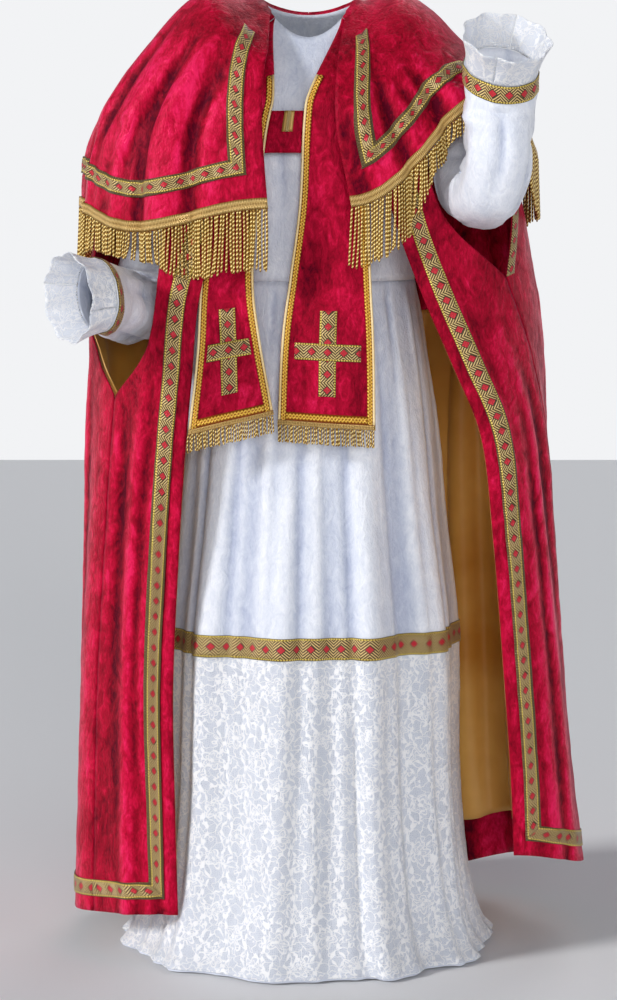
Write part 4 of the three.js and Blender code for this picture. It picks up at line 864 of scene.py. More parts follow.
def sew(name, laid, thick, finish, nodes=(), sheet=True):
    """A piece of cloth with its thickness."""
    bm, size = laid
    made = make_object(name, bm, finish, nodes)
    wall = made.modifiers.new("Cloth thickness", "SOLIDIFY")
    wall.thickness = thick * 0.001
    wall.offset = -1
    if sheet:
        width, length = size["flat"]
        area = min(size["area"], width * length)
    return made


def steps_for(length_mm, step_m):
    return max(2, round(length_mm * 0.001 / step_m))


def broken_spread(breaks, share_step):
    """Shares with the given breaks kept, and even steps between them."""
    places = [breaks[0]]
    for start, end in zip(breaks, breaks[1:]):
        steps = max(1, round((end - start) / share_step))
        places += spread(start, end, steps)[1:]
    return places


# Finishes.


def linear(code):
    """An sRGB hex colour as linear red, green, blue and alpha."""
    channels = [int(code[k : k + 2], 16) / 255 for k in (0, 2, 4)]
    return [c / 12.92 if c <= 0.04045 else ((c + 0.055) / 1.055) ** 2.4 for c in channels] + [1.0]


def set_inputs(tree, node, inputs):
    """Links or sets the inputs of a node, given by name or in order."""
    for key, value in inputs.items() if isinstance(inputs, dict) else enumerate(inputs):
        if isinstance(value, bpy.types.NodeSocket):
            tree.links.new(value, node.inputs[key])
        else:
            node.inputs[key].default_value = value


def add_node(tree, kind, inputs=(), result=None, stops=(), **settings):
    """Adds a node with its settings and links, and returns it or one of its outputs."""
    made = tree.nodes.new(kind)
    for key, value in settings.items():
        setattr(made, key, value)
    set_inputs(tree, made, inputs)
    if stops:
        elements = made.color_ramp.elements
        while len(elements) < len(stops):
            elements.new(0.5)
        for element, (position, code) in zip(elements, stops):
            element.position = position
            element.color = linear(code)
    return made if result is None else made.outputs[result]


def new_finish(name):
    """A material with a Principled surface, its tree and its texture coordinates."""
    finish = bpy.data.materials.new(name)
    finish.use_nodes = True
    tree = finish.node_tree
    return finish, tree, tree.nodes["Principled BSDF"], add_node(tree, "ShaderNodeTexCoord").outputs


MATH, NOISE, RAMP, BUMP = "ShaderNodeMath", "ShaderNodeTexNoise", "ShaderNodeValToRGB", "ShaderNodeBump"
# The pile is pressed in patches that are longer down the cloth than across it.
PILE_LIE = (1.25, 1.25, 0.6)
# How far the patches, the broad shading and the fine glints each change the pile's tone.
CRUSH_WEIGHT, BROAD_WEIGHT, FINE_WEIGHT = 0.62, 0.3, 0.28


def crushed_velvet(name, stops, sheen_tint, sheen, scale=1.0, contrast=1.0, fold_shade=0.13):
    """Polyester crushed velvet: the pile is pressed flat in patches of 10 to 40 mm, which
    throw the light back while the upright pile between them stays deep and dark. On top of that,
    shade is painted into the troughs of the folds and a highlight onto their ridges."""
    finish, tree, surface, coordinates = new_finish(name)
    lie = {"Vector": coordinates["Object"], "Scale": PILE_LIE}
    place = add_node(tree, "ShaderNodeMapping", lie, "Vector")
    broad = add_node(tree, NOISE, {"Vector": place, "Scale": 11 * scale, "Detail": 2.0}, "Fac")
    patches = {"Vector": place, "Scale": 36 * scale, "Detail": 6.0, "Roughness": 0.62, "Distortion": 1.4}
    crush = add_node(tree, NOISE, patches, "Fac")
    glints = {"Vector": place, "Scale": 210 * scale, "Detail": 3.0, "Distortion": 0.6}
    fine = add_node(tree, NOISE, glints, "Fac")
    weights = (
        (crush, CRUSH_WEIGHT * contrast),
        (broad, BROAD_WEIGHT * contrast),
        (fine, FINE_WEIGHT * contrast),
    )
    ridge = add_node(tree, "ShaderNodeAttribute", result="Fac", attribute_name="ridge")
    middle = 0.5 - 0.5 * sum(weight for _, weight in weights)
    # Painted shade and painted highlight: the ridge attribute darkens the tone in the folds' troughs and
    # lightens it on their ridges.
    tone = add_node(tree, MATH, (ridge, fold_shade, middle), 0, operation="MULTIPLY_ADD")
    for texture, weight in weights:
        tone = add_node(tree, MATH, (texture, weight, tone), 0, operation="MULTIPLY_ADD")
    pressed = {"Value": tone, "From Min": 0.35, "From Max": 0.7, "To Min": 0.6, "To Max": 0.28}
    look = {
        "Base Color": add_node(tree, RAMP, (tone,), "Color", stops),
        "Roughness": add_node(tree, "ShaderNodeMapRange", pressed, "Result"),
        "Normal": add_node(tree, BUMP, {"Height": tone, "Strength": 0.7, "Distance": 0.006}, "Normal"),
        "Specular IOR Level": 0.55,
        "Specular Tint": linear(sheen_tint),
        "Sheen Weight": sheen,
        "Sheen Roughness": 0.35,
        "Sheen Tint": linear(sheen_tint),
    }
    set_inputs(tree, surface, look)
    return finish


def satin(name, dark, light, rough):
    """Polyester satin: long floats give a smooth, soft gloss with a faint cross weave."""
    finish, tree, surface, coordinates = new_finish(name)
    place = coordinates["Object"]
    broad = add_node(tree, NOISE, {"Vector": place, "Scale": 7.0, "Detail": 3.0}, "Fac")
    drawn = {"Vector": place, "Scale": (900.0, 900.0, 60.0)}
    drawn_out = add_node(tree, "ShaderNodeMapping", drawn, "Vector")
    floats = add_node(tree, NOISE, {"Vector": drawn_out, "Scale": 1.0}, "Fac")
    look = {
        "Base Color": add_node(tree, RAMP, (broad,), "Color", ((0.3, dark), (0.7, light))),
        "Normal": add_node(tree, BUMP, {"Height": floats, "Strength": 0.15, "Distance": 0.0006}, "Normal"),
        "Roughness": rough,
        "Sheen Weight": 0.15,
        "Specular IOR Level": 0.5,
    }
    set_inputs(tree, surface, look)
    return finish


def plain_cotton(name):
    """Plain-weave cotton under the lace: matte, with a fine thread of 0.5 mm."""
    finish, tree, surface, coordinates = new_finish(name)
    weave = add_node(tree, NOISE, {"Vector": coordinates["Object"], "Scale": 900.0}, "Fac")
    bump = add_node(tree, BUMP, {"Height": weave, "Strength": 0.3, "Distance": 0.0005}, "Normal")
    # The cotton is a grey-blue white, a painted shade for the ground that shows through the lace.
    set_inputs(tree, surface, {"Normal": bump, "Base Color": linear("DCE1EE"), "Roughness": 0.8})
    return finish


# The braid's pattern in mm: from lozenge to lozenge, half a lozenge's length and with its dark
# outline, the pitch of the plait, the stitched edge and the dark selvedge outside it.
LOZENGE_EVERY, LOZENGE, LOZENGE_OUTLINE = 25.0, 6.2, 7.9
PLAIT_PITCH, STITCHED_EDGE, SELVEDGE = 5.2, 3.0, 0.7
# Radians of the edge stitches for each mm of braid: one stitch takes about 4 mm.
STITCH_TURN = 1.5


def jacquard_braid(name, width_mm):
    """Woven jacquard ribbon: antique gold metal yarn in a plait that leans both ways, a red
    lozenge with a dark outline every 25 mm, and yellow overlock stitches along both edges. The
    plait and the stitches are drawn about twice as coarse as they are, so that they show."""
    finish, tree, surface, coordinates = new_finish(name)
    cloth = coordinates["UV"]
    place = add_node(tree, "ShaderNodeSeparateXYZ", (cloth,)).outputs
    along = add_node(tree, MATH, (place["X"], 1000.0), 0, operation="MULTIPLY")
    across = add_node(tree, MATH, (place["Y"], 1000.0), 0, operation="MULTIPLY")
    off = add_node(tree, MATH, (across,), 0, operation="ABSOLUTE")
    repeat = add_node(tree, MATH, (along, LOZENGE_EVERY / 2, -LOZENGE_EVERY / 2), 0, operation="WRAP")
    step = add_node(tree, MATH, (repeat,), 0, operation="ABSOLUTE")
    lozenge = add_node(tree, MATH, (off, 1.05, step), 0, operation="MULTIPLY_ADD")
    red = add_node(tree, MATH, (lozenge, LOZENGE), 0, operation="LESS_THAN")
    outline = add_node(tree, MATH, (lozenge, LOZENGE_OUTLINE), 0, operation="LESS_THAN")
    side = add_node(tree, MATH, (repeat,), 0, operation="SIGN")
    leaning = add_node(tree, MATH, (side, across), 0, operation="MULTIPLY")
    slant = add_node(tree, MATH, (leaning, 1.1, along), 0, operation="MULTIPLY_ADD")
    turn = add_node(tree, MATH, (slant, 2 * math.pi / PLAIT_PITCH), 0, operation="MULTIPLY")
    plait = add_node(tree, MATH, (turn,), 0, operation="SINE")
    glint = add_node(tree, NOISE, {"Vector": cloth, "Scale": 620.0}, "Fac")
    weave = add_node(tree, MATH, (plait, 0.42, 0.25), 0, operation="MULTIPLY_ADD")
    weave = add_node(tree, MATH, (glint, 0.5, weave), 0, operation="MULTIPLY_ADD")
    dash = add_node(tree, MATH, (along, STITCH_TURN), 0, operation="MULTIPLY")
    dash = add_node(tree, MATH, (dash,), 0, operation="SINE")
    dash = add_node(tree, MATH, (dash, 0.5, 0.5), 0, operation="MULTIPLY_ADD")
    edge = add_node(tree, MATH, (off, width_mm / 2 - STITCHED_EDGE), 0, operation="GREATER_THAN")
    selvedge = add_node(tree, MATH, (off, width_mm / 2 - SELVEDGE), 0, operation="GREATER_THAN")
    gold_stops = ((0.2, "3A2A0E"), (0.42, "735828"), (0.62, "A38041"), (0.82, "DFC384"))
    colour = add_node(tree, RAMP, (weave,), "Color", gold_stops)
    stitch_stops = ((0.1, "7A5A1A"), (0.45, "D6B43A"), (0.8, "F8E070"))
    stitches = add_node(tree, RAMP, (dash,), "Color", stitch_stops)
    layers = (
        (outline, linear("33290F")),
        (red, linear("C21A2A")),
        (edge, stitches),
        (selvedge, linear("5E4C22")),
    )
    for factor, tint in layers:
        colour = add_node(tree, "ShaderNodeMix", {0: factor, 6: colour, 7: tint}, 2, data_type="RGBA")
    relief = add_node(tree, MATH, (red, 0.6, weave), 0, operation="MULTIPLY_ADD")
    relief = add_node(tree, MATH, (edge, dash, relief), 0, operation="MULTIPLY_ADD")
    bump = add_node(tree, BUMP, {"Height": relief, "Strength": 0.6, "Distance": 0.0012}, "Normal")
    look = {"Base Color": colour, "Normal": bump, "Roughness": 0.42, "Metallic": 0.25, "Sheen Weight": 0.1}
    set_inputs(tree, surface, look)
    return finish


def twisted_cord(name, pitch_mm):
    """Bullion fringe cord: rayon and metal yarn twisted with a pitch of a few millimetres."""
    finish, tree, surface, coordinates = new_finish(name)
    place = add_node(tree, "ShaderNodeSeparateXYZ", (coordinates["UV"],)).outputs
    turns = add_node(tree, MATH, (place["Y"], 1000.0 / pitch_mm, place["X"]), 0, operation="MULTIPLY_ADD")
    phase = add_node(tree, MATH, (turns, 2 * math.pi), 0, operation="MULTIPLY")
    twist = add_node(tree, MATH, (phase,), 0, operation="SINE")
    twist = add_node(tree, MATH, (twist, 0.5, 0.5), 0, operation="MULTIPLY_ADD")
    # The ramp paints shade into the grooves of the twist and a near-white highlight on its crests.
    stops = ((0.05, "6E4A12"), (0.4, "B98928"), (0.75, "DDB24C"), (0.97, "F6E2A0"))
    look = {
        "Base Color": add_node(tree, RAMP, (twist,), "Color", stops),
        "Normal": add_node(tree, BUMP, {"Height": twist, "Strength": 0.8, "Distance": 0.0012}, "Normal"),
        "Roughness": 0.4,
        "Metallic": 0.35,
    }
    set_inputs(tree, surface, look)
    return finish


def gimp_braid(name, half_width_mm, wave_mm, stops):
    """Gimp braid: bright gold yarn looped to and fro across the strip."""
    finish, tree, surface, coordinates = new_finish(name)
    place = add_node(tree, "ShaderNodeSeparateXYZ", (coordinates["UV"],)).outputs
    along = add_node(tree, MATH, (place["X"], 2000 * math.pi / wave_mm), 0, operation="MULTIPLY")
    swing = add_node(tree, MATH, (along,), 0, operation="SINE")
    across = add_node(tree, MATH, (place["Y"], 1000.0 / half_width_mm), 0, operation="MULTIPLY")
    loops = []
    for lean in (-0.62, 0.62):
        away = add_node(tree, MATH, (swing, lean, across), 0, operation="MULTIPLY_ADD")
        loops.append(add_node(tree, MATH, (away,), 0, operation="ABSOLUTE"))
    near = add_node(tree, MATH, loops, 0, operation="MINIMUM")
    rounded = {"Value": near, "From Min": 0.0, "From Max": 0.55, "To Min": 1.0, "To Max": 0.0}
    yarn = add_node(tree, "ShaderNodeMapRange", rounded, "Result")
    look = {
        "Base Color": add_node(tree, RAMP, (yarn,), "Color", stops),
        "Normal": add_node(tree, BUMP, {"Height": yarn, "Strength": 0.8, "Distance": 0.0018}, "Normal"),
        "Roughness": 0.38,
        "Metallic": 0.3,
    }
    set_inputs(tree, surface, look)
    return finish


# The lace's half-drop repeat, and its lines, in metres: a flower's mean radius and how far its
# petals reach beyond it, the ring inside them, and the stem with its leaves.
LACE_WIDE, LACE_TALL = 0.04, 0.08
FLOWER, PETAL_REACH, PETAL_LINE = 0.0132, 0.0042, 0.0013
RING_INSIDE, RING_LINE, EYE = 0.0062, 0.0009, 0.0032
STEM_IN, STEM_SWING, STEM, LEAF, LEAF_LENGTH, STEM_CLEAR = 0.0045, 0.0035, 0.0015, 0.0013, 0.013, 0.002
# Cells to a metre of the outlined leaves and of the net, and their lines as shares of a cell.
LEAVES, LEAF_LINE, NET, NET_LINE = 62.0, 0.055, 330.0, 0.21


def floral_lace(name):
    """Raschel lace: outlined five-petalled flowers with eyed centres in a half-drop repeat of
    80 by 80 mm, winding stems and outlined leaves about 16 mm long between them, on a net of
    3 mm meshes, which is drawn that coarse to show. The outlines lie brighter on the net."""
    finish, tree, surface, coordinates = new_finish(name)
    cloth = coordinates["UV"]
    wobble = add_node(tree, NOISE, {"Vector": cloth, "Scale": 34.0, "Detail": 1.0}, "Color")
    offset = add_node(tree, "ShaderNodeVectorMath", (wobble, (0.5, 0.5, 0.5)), 0, operation="SUBTRACT")
    warp = (offset, (0.02, 0.02, 0), cloth)
    bent = add_node(tree, "ShaderNodeVectorMath", warp, 0, operation="MULTIPLY_ADD")
    place = add_node(tree, "ShaderNodeSeparateXYZ", (bent,)).outputs

    tile = add_node(tree, MATH, (place["X"], LACE_WIDE), 0, operation="DIVIDE")
    column = add_node(tree, MATH, (tile,), 0, operation="FLOOR")
    odd = add_node(tree, MATH, (column, 2.0), 0, operation="FLOORED_MODULO")
    drop = add_node(tree, MATH, (odd, LACE_TALL / 2, place["Y"]), 0, operation="MULTIPLY_ADD")
    x = add_node(tree, MATH, (place["X"], LACE_WIDE), 0, operation="FLOORED_MODULO")
    x = add_node(tree, MATH, (x, -LACE_WIDE / 2), 0, operation="ADD")
    y = add_node(tree, MATH, (drop, LACE_TALL), 0, operation="FLOORED_MODULO")
    y = add_node(tree, MATH, (y, -LACE_TALL / 2), 0, operation="ADD")

    squared = add_node(tree, MATH, (x, x), 0, operation="MULTIPLY")
    squared = add_node(tree, MATH, (y, y, squared), 0, operation="MULTIPLY_ADD")
    radius = add_node(tree, MATH, (squared,), 0, operation="SQRT")
    angle = add_node(tree, MATH, (y, x), 0, operation="ARCTAN2")
    petals = add_node(tree, MATH, (angle, 5.0), 0, operation="MULTIPLY")
    petals = add_node(tree, MATH, (petals,), 0, operation="COSINE")
    rim = add_node(tree, MATH, (petals, PETAL_REACH, FLOWER), 0, operation="MULTIPLY_ADD")
    inside = add_node(tree, MATH, (rim, radius), 0, operation="SUBTRACT")
    outline = add_node(tree, MATH, (inside,), 0, operation="ABSOLUTE")
    outline = add_node(tree, MATH, (outline, PETAL_LINE), 0, operation="LESS_THAN")
    ring = add_node(tree, MATH, (inside, -RING_INSIDE), 0, operation="ADD")
    ring = add_node(tree, MATH, (ring,), 0, operation="ABSOLUTE")
    ring = add_node(tree, MATH, (ring, RING_LINE), 0, operation="LESS_THAN")
    eye = add_node(tree, MATH, (radius, EYE), 0, operation="LESS_THAN")

    edge = add_node(tree, MATH, (x,), 0, operation="ABSOLUTE")
    edge = add_node(tree, MATH, (LACE_WIDE / 2, edge), 0, operation="SUBTRACT")
    edge = add_node(tree, MATH, (edge, -STEM_IN), 0, operation="ADD")
    swing = add_node(tree, MATH, (y, 4 * math.pi / LACE_TALL), 0, operation="MULTIPLY")
    swing = add_node(tree, MATH, (swing,), 0, operation="SINE")
    stem = add_node(tree, MATH, (swing, -STEM_SWING, edge), 0, operation="MULTIPLY_ADD")
    stem = add_node(tree, MATH, (stem,), 0, operation="ABSOLUTE")
    leaf = add_node(tree, MATH, (y, 2 * math.pi / LEAF_LENGTH), 0, operation="MULTIPLY")
    leaf = add_node(tree, MATH, (leaf,), 0, operation="SINE")
    leaf = add_node(tree, MATH, (leaf, LEAF, STEM), 0, operation="MULTIPLY_ADD")
    stem = add_node(tree, MATH, (stem, leaf), 0, operation="LESS_THAN")
    clear = add_node(tree, MATH, (inside, -STEM_CLEAR), 0, operation="LESS_THAN")
    stem = add_node(tree, MATH, (stem, clear), 0, operation="MULTIPLY")

    ripple = add_node(tree, NOISE, {"Vector": cloth, "Scale": 120.0, "Detail": 0.0}, "Color")
    curl = (ripple, (0.016, 0.016, 0), bent)
    curled = add_node(tree, "ShaderNodeVectorMath", curl, 0, operation="MULTIPLY_ADD")
    cells = {}
    for kind, where, count, uneven in (("leaves", curled, LEAVES, 1.0), ("net", cloth, NET, 0.9)):
        size = {"Vector": where, "Scale": count, "Randomness": uneven}
        flat = {"feature": "DISTANCE_TO_EDGE", "voronoi_dimensions": "2D"}
        cells[kind] = add_node(tree, "ShaderNodeTexVoronoi", size, "Distance", **flat)
    leaf_edge = add_node(tree, MATH, (cells["leaves"], LEAF_LINE), 0, operation="LESS_THAN")
    thread = add_node(tree, MATH, (cells["net"], NET_LINE), 0, operation="LESS_THAN")
    pattern = leaf_edge
    for line in (outline, ring, eye, stem):
        pattern = add_node(tree, MATH, (pattern, line), 0, operation="MAXIMUM")
    cord = add_node(tree, NOISE, {"Vector": cloth, "Scale": 700.0}, "Fac")
    relief = add_node(tree, MATH, (pattern, 2.0, thread), 0, operation="MULTIPLY_ADD")
    relief = add_node(tree, MATH, (cord, relief), 0, operation="MULTIPLY")
    yarn = {0: pattern, 6: linear("E8ECF5"), 7: linear("FDFDFF")}
    look = {
        "Alpha": add_node(tree, MATH, (pattern, thread), 0, operation="MAXIMUM", use_clamp=True),
        "Normal": add_node(tree, BUMP, {"Height": relief, "Strength": 0.5, "Distance": 0.001}, "Normal"),
        "Base Color": add_node(tree, "ShaderNodeMix", yarn, 2, data_type="RGBA"),
        "Roughness": 0.75,
        "Sheen Weight": 0.2,
    }
    set_inputs(tree, surface, look)
    return finish


class Finishes:
    """The materials of the costume, by their names."""

    def __init__(self):
        self.crimson_velvet = crushed_velvet(
            "Crimson crushed velvet",
            ((0.32, "40020F"), (0.43, "7C0617"), (0.53, "A40A27"), (0.61, "C6123A"), (0.72, "E6245A")),
            "F03A72",
            0.3,
            contrast=0.85,
        )
        self.white_velvet = crushed_velvet(
            "White crushed velvet",
            ((0.25, "ABB3CB"), (0.45, "C9CFDF"), (0.6, "DDE1EC"), (0.75, "EFF1F8")),
            "FFFFFF",
            0.12,
            scale=1.5,
            contrast=0.7,
            fold_shade=0.16,
        )
        self.ochre_satin = satin("Ochre satin", "D9963A", "FAC468", 0.36)
        self.white_cotton = plain_cotton("White plain cotton")
        self.gold_braid = jacquard_braid("Gold jacquard braid", BRAID_WIDTH)
        self.wide_braid = jacquard_braid("Gold jacquard skirt band", SEAM_BAND)
        self.gold_fringe = twisted_cord("Twisted gold bullion cord", 6.5)
        self.fringe_head = gimp_braid(
            "Gold fringe heading", FRINGE_HEAD / 2, 5.0, ((0.1, "8A6426"), (0.5, "C99C50"), (0.9, "ECCB86"))
        )
        self.gold_gimp = gimp_braid(
            "Bright gold gimp", 5.0, 11.0, ((0.1, "96500E"), (0.4, "DE951C"), (0.8, "FFD058"))
        )
        self.gold_piping = satin("Pale gold satin piping", "D9B56A", "F8E2AE", 0.3)
        self.white_lace = floral_lace("White floral lace")
        self.chest_strip = gimp_braid(
            "Fine gold weave", 3.0, 4.0, ((0.1, "A88440"), (0.5, "D2AC62"), (0.9, "F3DFA6"))
        )


# Sleeves.

Crease = namedtuple("Crease", "gone turn wide reach deep slant")

# Creases of a sleeve. `gone` is how far down the arm in mm, and `turn` the angle from the
# inside of the elbow.
SLEEVE_CREASES = (
    Crease(40, 1.2, 9, 1.1, -5, 6),
    Crease(72, -1.4, 10, 1.0, -5, -8),
    Crease(110, 2.6, 11, 1.2, 4, 10),
    Crease(150, 0.6, 9, 1.0, -5, -9),
    Crease(190, -0.7, 8, 1.2, 5, 8),
    Crease(225, 0.3, 8, 1.3, -7, 4),
    Crease(250, -0.2, 7, 1.3, 6, -3),
    Crease(274, 0.2, 7, 1.3, -7, 2),
    Crease(298, -0.1, 7, 1.3, 6, -4),
    Crease(324, 0.4, 8, 1.2, -6, 6),
    Crease(262, 2.9, 12, 1.1, 4, 9),
    Crease(350, -1.6, 10, 1.2, -5, 12),
    Crease(382, 1.5, 11, 1.1, 5, -12),
    Crease(410, 2.8, 10, 1.2, -5, 10),
    Crease(436, -0.6, 10, 1.2, 4, -10),
    Crease(470, 1.1, 11, 1.3, -5, 9),
    Crease(492, -2.3, 10, 1.2, 4, -6),
    Crease(520, 2.2, 11, 1.2, -4, 8),
)


LongFold = namedtuple("LongFold", "turn wide deep start end twist")

# Folds that run along a sleeve. `start` and `end` are shares of the way from shoulder to wrist,
# and `twist` is how far the fold winds round the arm, in radians.
SLEEVE_FOLDS = (
    LongFold(0.15, 0.2, -7, 0.42, 0.97, 0.5),
    LongFold(0.55, 0.2, 5, 0.46, 0.9, 0.3),
    LongFold(0.95, 0.2, -7, 0.5, 0.98, 0.2),
    LongFold(1.5, 0.24, -6, 0.44, 0.92, -0.2),
    LongFold(2.2, 0.26, -6, 0.5, 0.98, 0.3),
    LongFold(2.9, 0.3, 4, 0.55, 0.95, -0.3),
    LongFold(-0.45, 0.2, -7, 0.45, 0.93, -0.4),
    LongFold(-0.85, 0.2, 5, 0.5, 0.97, -0.2),
    LongFold(-1.3, 0.22, -7, 0.46, 0.96, -0.4),
    LongFold(-2.1, 0.26, -6, 0.5, 0.93, 0.25),
    LongFold(2.55, 0.17, -8, 0.4, 0.98, 0.35),
    LongFold(3.1, 0.2, -8, 0.45, 0.95, -0.5),
    LongFold(-2.65, 0.17, -8, 0.42, 0.97, 0.4),
    LongFold(0.7, 0.25, -5, 0.05, 0.38, 0.3),
    LongFold(-0.8, 0.25, -5, 0.08, 0.4, -0.3),
    LongFold(1.9, 0.3, -5, 0.03, 0.36, 0.2),
    LongFold(-2.0, 0.3, -5, 0.06, 0.35, -0.2),
)


def arm_line(arm, step=6.0):
    """The centres down an arm and the way it runs at each: straight, round the bend, straight."""
    shoulder, elbow, wrist = (Vector(arm[key]) for key in ("shoulder", "elbow", "wrist"))
    bend = arm["bend"]
    up, on = (shoulder - elbow).normalized(), (wrist - elbow).normalized()
    half = up.angle(on) / 2
    enter = elbow + up * bend / math.tan(half)
    leave = elbow + on * bend / math.tan(half)
    middle = elbow + (up + on).normalized() * bend / math.sin(half)
    line = [(shoulder, (Vector((arm["side"], 0, 0)) - up).normalized())]
    upper = (enter - shoulder).length
    for share in spread(0, 1, round(upper / step))[1:-1]:
        facing = mix(line[0][1], -up, soft_step(share / 0.3)).normalized()
        line.append((mix(shoulder, enter, share), facing))
    turn = math.pi - 2 * half
    first, last = (enter - middle) / bend, (leave - middle) / bend
    for share in spread(0, 1, round(bend * turn / step)):
        spoke = (first * math.sin((1 - share) * turn) + last * math.sin(share * turn)) / math.sin(turn)
        line.append((middle + spoke * bend, mix(-up, on, share).normalized()))
    facing = Vector(arm["cuff_facing"]).normalized()
    length = (wrist - leave).length
    for share in spread(0, 1, round(length / step))[1:]:
        turned = soft_step((share - CUFF_TURN["from"]) / (CUFF_TURN["full"] - CUFF_TURN["from"]))
        line.append((mix(leave, wrist, share), mix(on, facing, turned).normalized()))
    return line, (up + on).normalized(), upper + bend * turn / 2


class Sleeve:
    """A sleeve's surface, from the armhole's own edge (head 0 to 1) and on down the arm."""

    HEAD_MM = 46

    def __init__(self, arm, bodice, crumple):
        self.side, self.bodice = arm["side"], bodice
        line, inner, elbow_gone = arm_line(arm)
        self.crumple = crumple
        self.gone = [0.0]
        for (a, _), (b, _) in zip(line, line[1:]):
            self.gone.append(self.gone[-1] + (b - a).length)
        self.total = self.gone[-1]
        along = Vector((self.side, 0, 0))
        top, front = Vector((0, 0, 1)), Vector((0, -1, 0))
        self.rings = []
        for (centre, facing), gone in zip(line, self.gone):
            least = along.rotation_difference(facing)
            along, top, front = facing, least @ top, least @ front
            wide = read(SLEEVE_WIDTHS, "wide", gone / self.total)
            self.rings.append((centre, along, top.copy(), front.copy(), wide))
        near = min(range(len(line)), key=lambda k: abs(self.gone[k] - elbow_gone))
        self.inner_turn = math.atan2(inner.dot(self.rings[near][3]), inner.dot(self.rings[near][2]))

    def ring(self, gone):
        """The ring at a distance down the arm, between its neighbours."""
        k = int(np.searchsorted(self.gone, gone, side="right")) - 1
        k = min(max(k, 0), len(self.gone) - 2)
        t = (gone - self.gone[k]) / (self.gone[k + 1] - self.gone[k])
        return [mix(a, b, t) for a, b in zip(self.rings[k], self.rings[k + 1])]

    def armhole(self, turn):
        """The armhole's edge, from the shoulder seam down the front and up the back."""
        place = (turn / (2 * math.pi) % 1) * 14
        wide, top, low = ARMHOLE["inset"], ARMHOLE["top"], ARMHOLE["low"]
        stops = (
            (0, 0, top),
            (2, -wide, top),
            (5, -wide, low),
            (9, wide, low),
            (12, wide, top),
            (14, 0, top),
        )
        for (start, inset, at), (end, next_inset, next_at) in zip(stops, stops[1:]):
            if place <= end:
                t = (place - start) / (end - start)
                around = self.side * (0.5 + mix(inset, next_inset, t))
                return self.on_bodice(around, mix(at, next_at, t))
        return self.on_bodice(self.side * 0.5, top)

    def on_bodice(self, around, at):
        def surface(a, d):
            return whole(self.bodice, a, d)

        return Vector(surface(around, at) + outward(surface, around, at) * (ALB_CLOTH + SEAM))

    def relief(self, turn, gone, point):
        """How far the creases and the crushed pile stand out."""
        out = self.crumple * (noise.noise(point * 0.04) + 0.6 * noise.noise(point * 0.09))
        calm = soft_step((self.total - 30 - gone) / 30)
        for crease in SLEEVE_CREASES:
            away = (turn - self.inner_turn - crease.turn + math.pi) % (2 * math.pi) - math.pi
            if abs(away) < crease.reach:
                shift = (gone - crease.gone - crease.slant * away) / crease.wide
                fade = math.cos(math.pi / 2 * away / crease.reach) ** 2
                out += calm * 1.5 * crease.deep * fade * math.exp(-shift * shift)
        share = gone / self.total
        for fold in SLEEVE_FOLDS:
            if fold.start < share < fold.end:
                along = (share - fold.start) / (fold.end - fold.start)
                wound = turn - self.inner_turn - fold.turn - fold.twist * along
                away = ((wound + math.pi) % (2 * math.pi) - math.pi) / fold.wide
                out += calm * fold.deep * math.sin(math.pi * along) ** 0.7 * math.exp(-away * away)
        return out

    def place(self, turn, gone):
        """A point of the sleeve. Below zero is the sleeve's head, up to the armhole."""
        centre, _, top, front, wide = self.ring(max(gone, 0))
        spoke = (top * math.cos(turn) + front * math.sin(turn)).normalized()
        point = centre + spoke * wide
        if gone >= 0:
            return np.array(point + spoke * self.relief(turn, gone, point) * soft_step(gone / 20))
        share = -gone / self.HEAD_MM
        gathers = 2.2 * math.sin(11 * turn) * math.sin(math.pi * share)
        return np.array(mix(point, self.armhole(turn), share) + spoke * gathers)


def lace_cuff_place(sleeve, first):
    """Half of a lace cuff: it flares in soft flutes from the wrist."""
    centre, along, top, front, _ = sleeve.ring(sleeve.total)

    def place(across, share):
        gap = SEAM / 56
        turn = mix(first + gap, first + math.pi - gap, across if sleeve.side == -1 else 1 - across)
        spoke = top * math.cos(turn) + front * math.sin(turn)
        wide = read(CUFF_LACE, "wide", share) + 3.2 * share * math.sin(9 * turn + 1.3)
        return np.array(centre + along * (2 * SEAM + share * CUFF_LACE_LENGTH) + spoke * wide)

    return place


# Trimmings.


def joined(laid):
    """Several laid strips as one piece, its flat size end to end."""
    (bm, size), *others = laid
    length, width, area = size["flat"][0], size["flat"][1], size["area"]
    length, width = max(length, width), min(length, width)
    for other, other_size in others:
        spare = bpy.data.meshes.new("spare strip")
        other.to_mesh(spare)
        other.free()
        bm.from_mesh(spare)
        bpy.data.meshes.remove(spare)
        length += max(other_size["flat"])
        width = max(width, min(other_size["flat"]))
        area += other_size["area"]
    return bm, {"flat": (length, width), "area": area}


def bound_edge(half, inset, top, above, last, outer, step):
    """A braid down a garment's front edge and round along its hem, in a mitred line."""
    side = half.side
    columns = spread(0, 1, 4)

    def from_edge(across):
        return across if side == 1 else 1 - across

    def hem_share(row):
        return (inset + BRAID_WIDTH * row) / half.length(1)

    ends = {a: half.above_hem(hem_share(from_edge(a)), above + BRAID_WIDTH * from_edge(a)) for a in columns}

    def down_edge(across, share):
        at = mix(top, ends[across], share)
        return half.place((inset + BRAID_WIDTH * from_edge(across)) / half.length(at), at)

    def along_hem(across, share):
        row = 1 - share
        place = mix(hem_share(row), last, from_edge(across))
        return half.place(place, half.above_hem(place, above + BRAID_WIDTH * row))

    tall = steps_for(0.9 * np.linalg.norm(half.place(0, 1) - half.place(0, top)), step * 0.6)
    wide = steps_for(half.length(1) * last, step * 0.6)
    return joined(
        [
            lay_cloth(columns, spread(0, 1, tall), down_edge, outer, along="down"),
            lay_cloth(spread(0, 1, wide), columns, along_hem, outer),
        ]
    )


# How far down a cord each of its rings lies, and how wide it is there: the tip is rounded.
CORD_RINGS = ((0, 1), (0.16, 1), (0.33, 1), (0.5, 1), (0.67, 1), (0.83, 1), (0.95, 1), (0.99, 0.7), (1, 0))
CORD_SIDES = 5


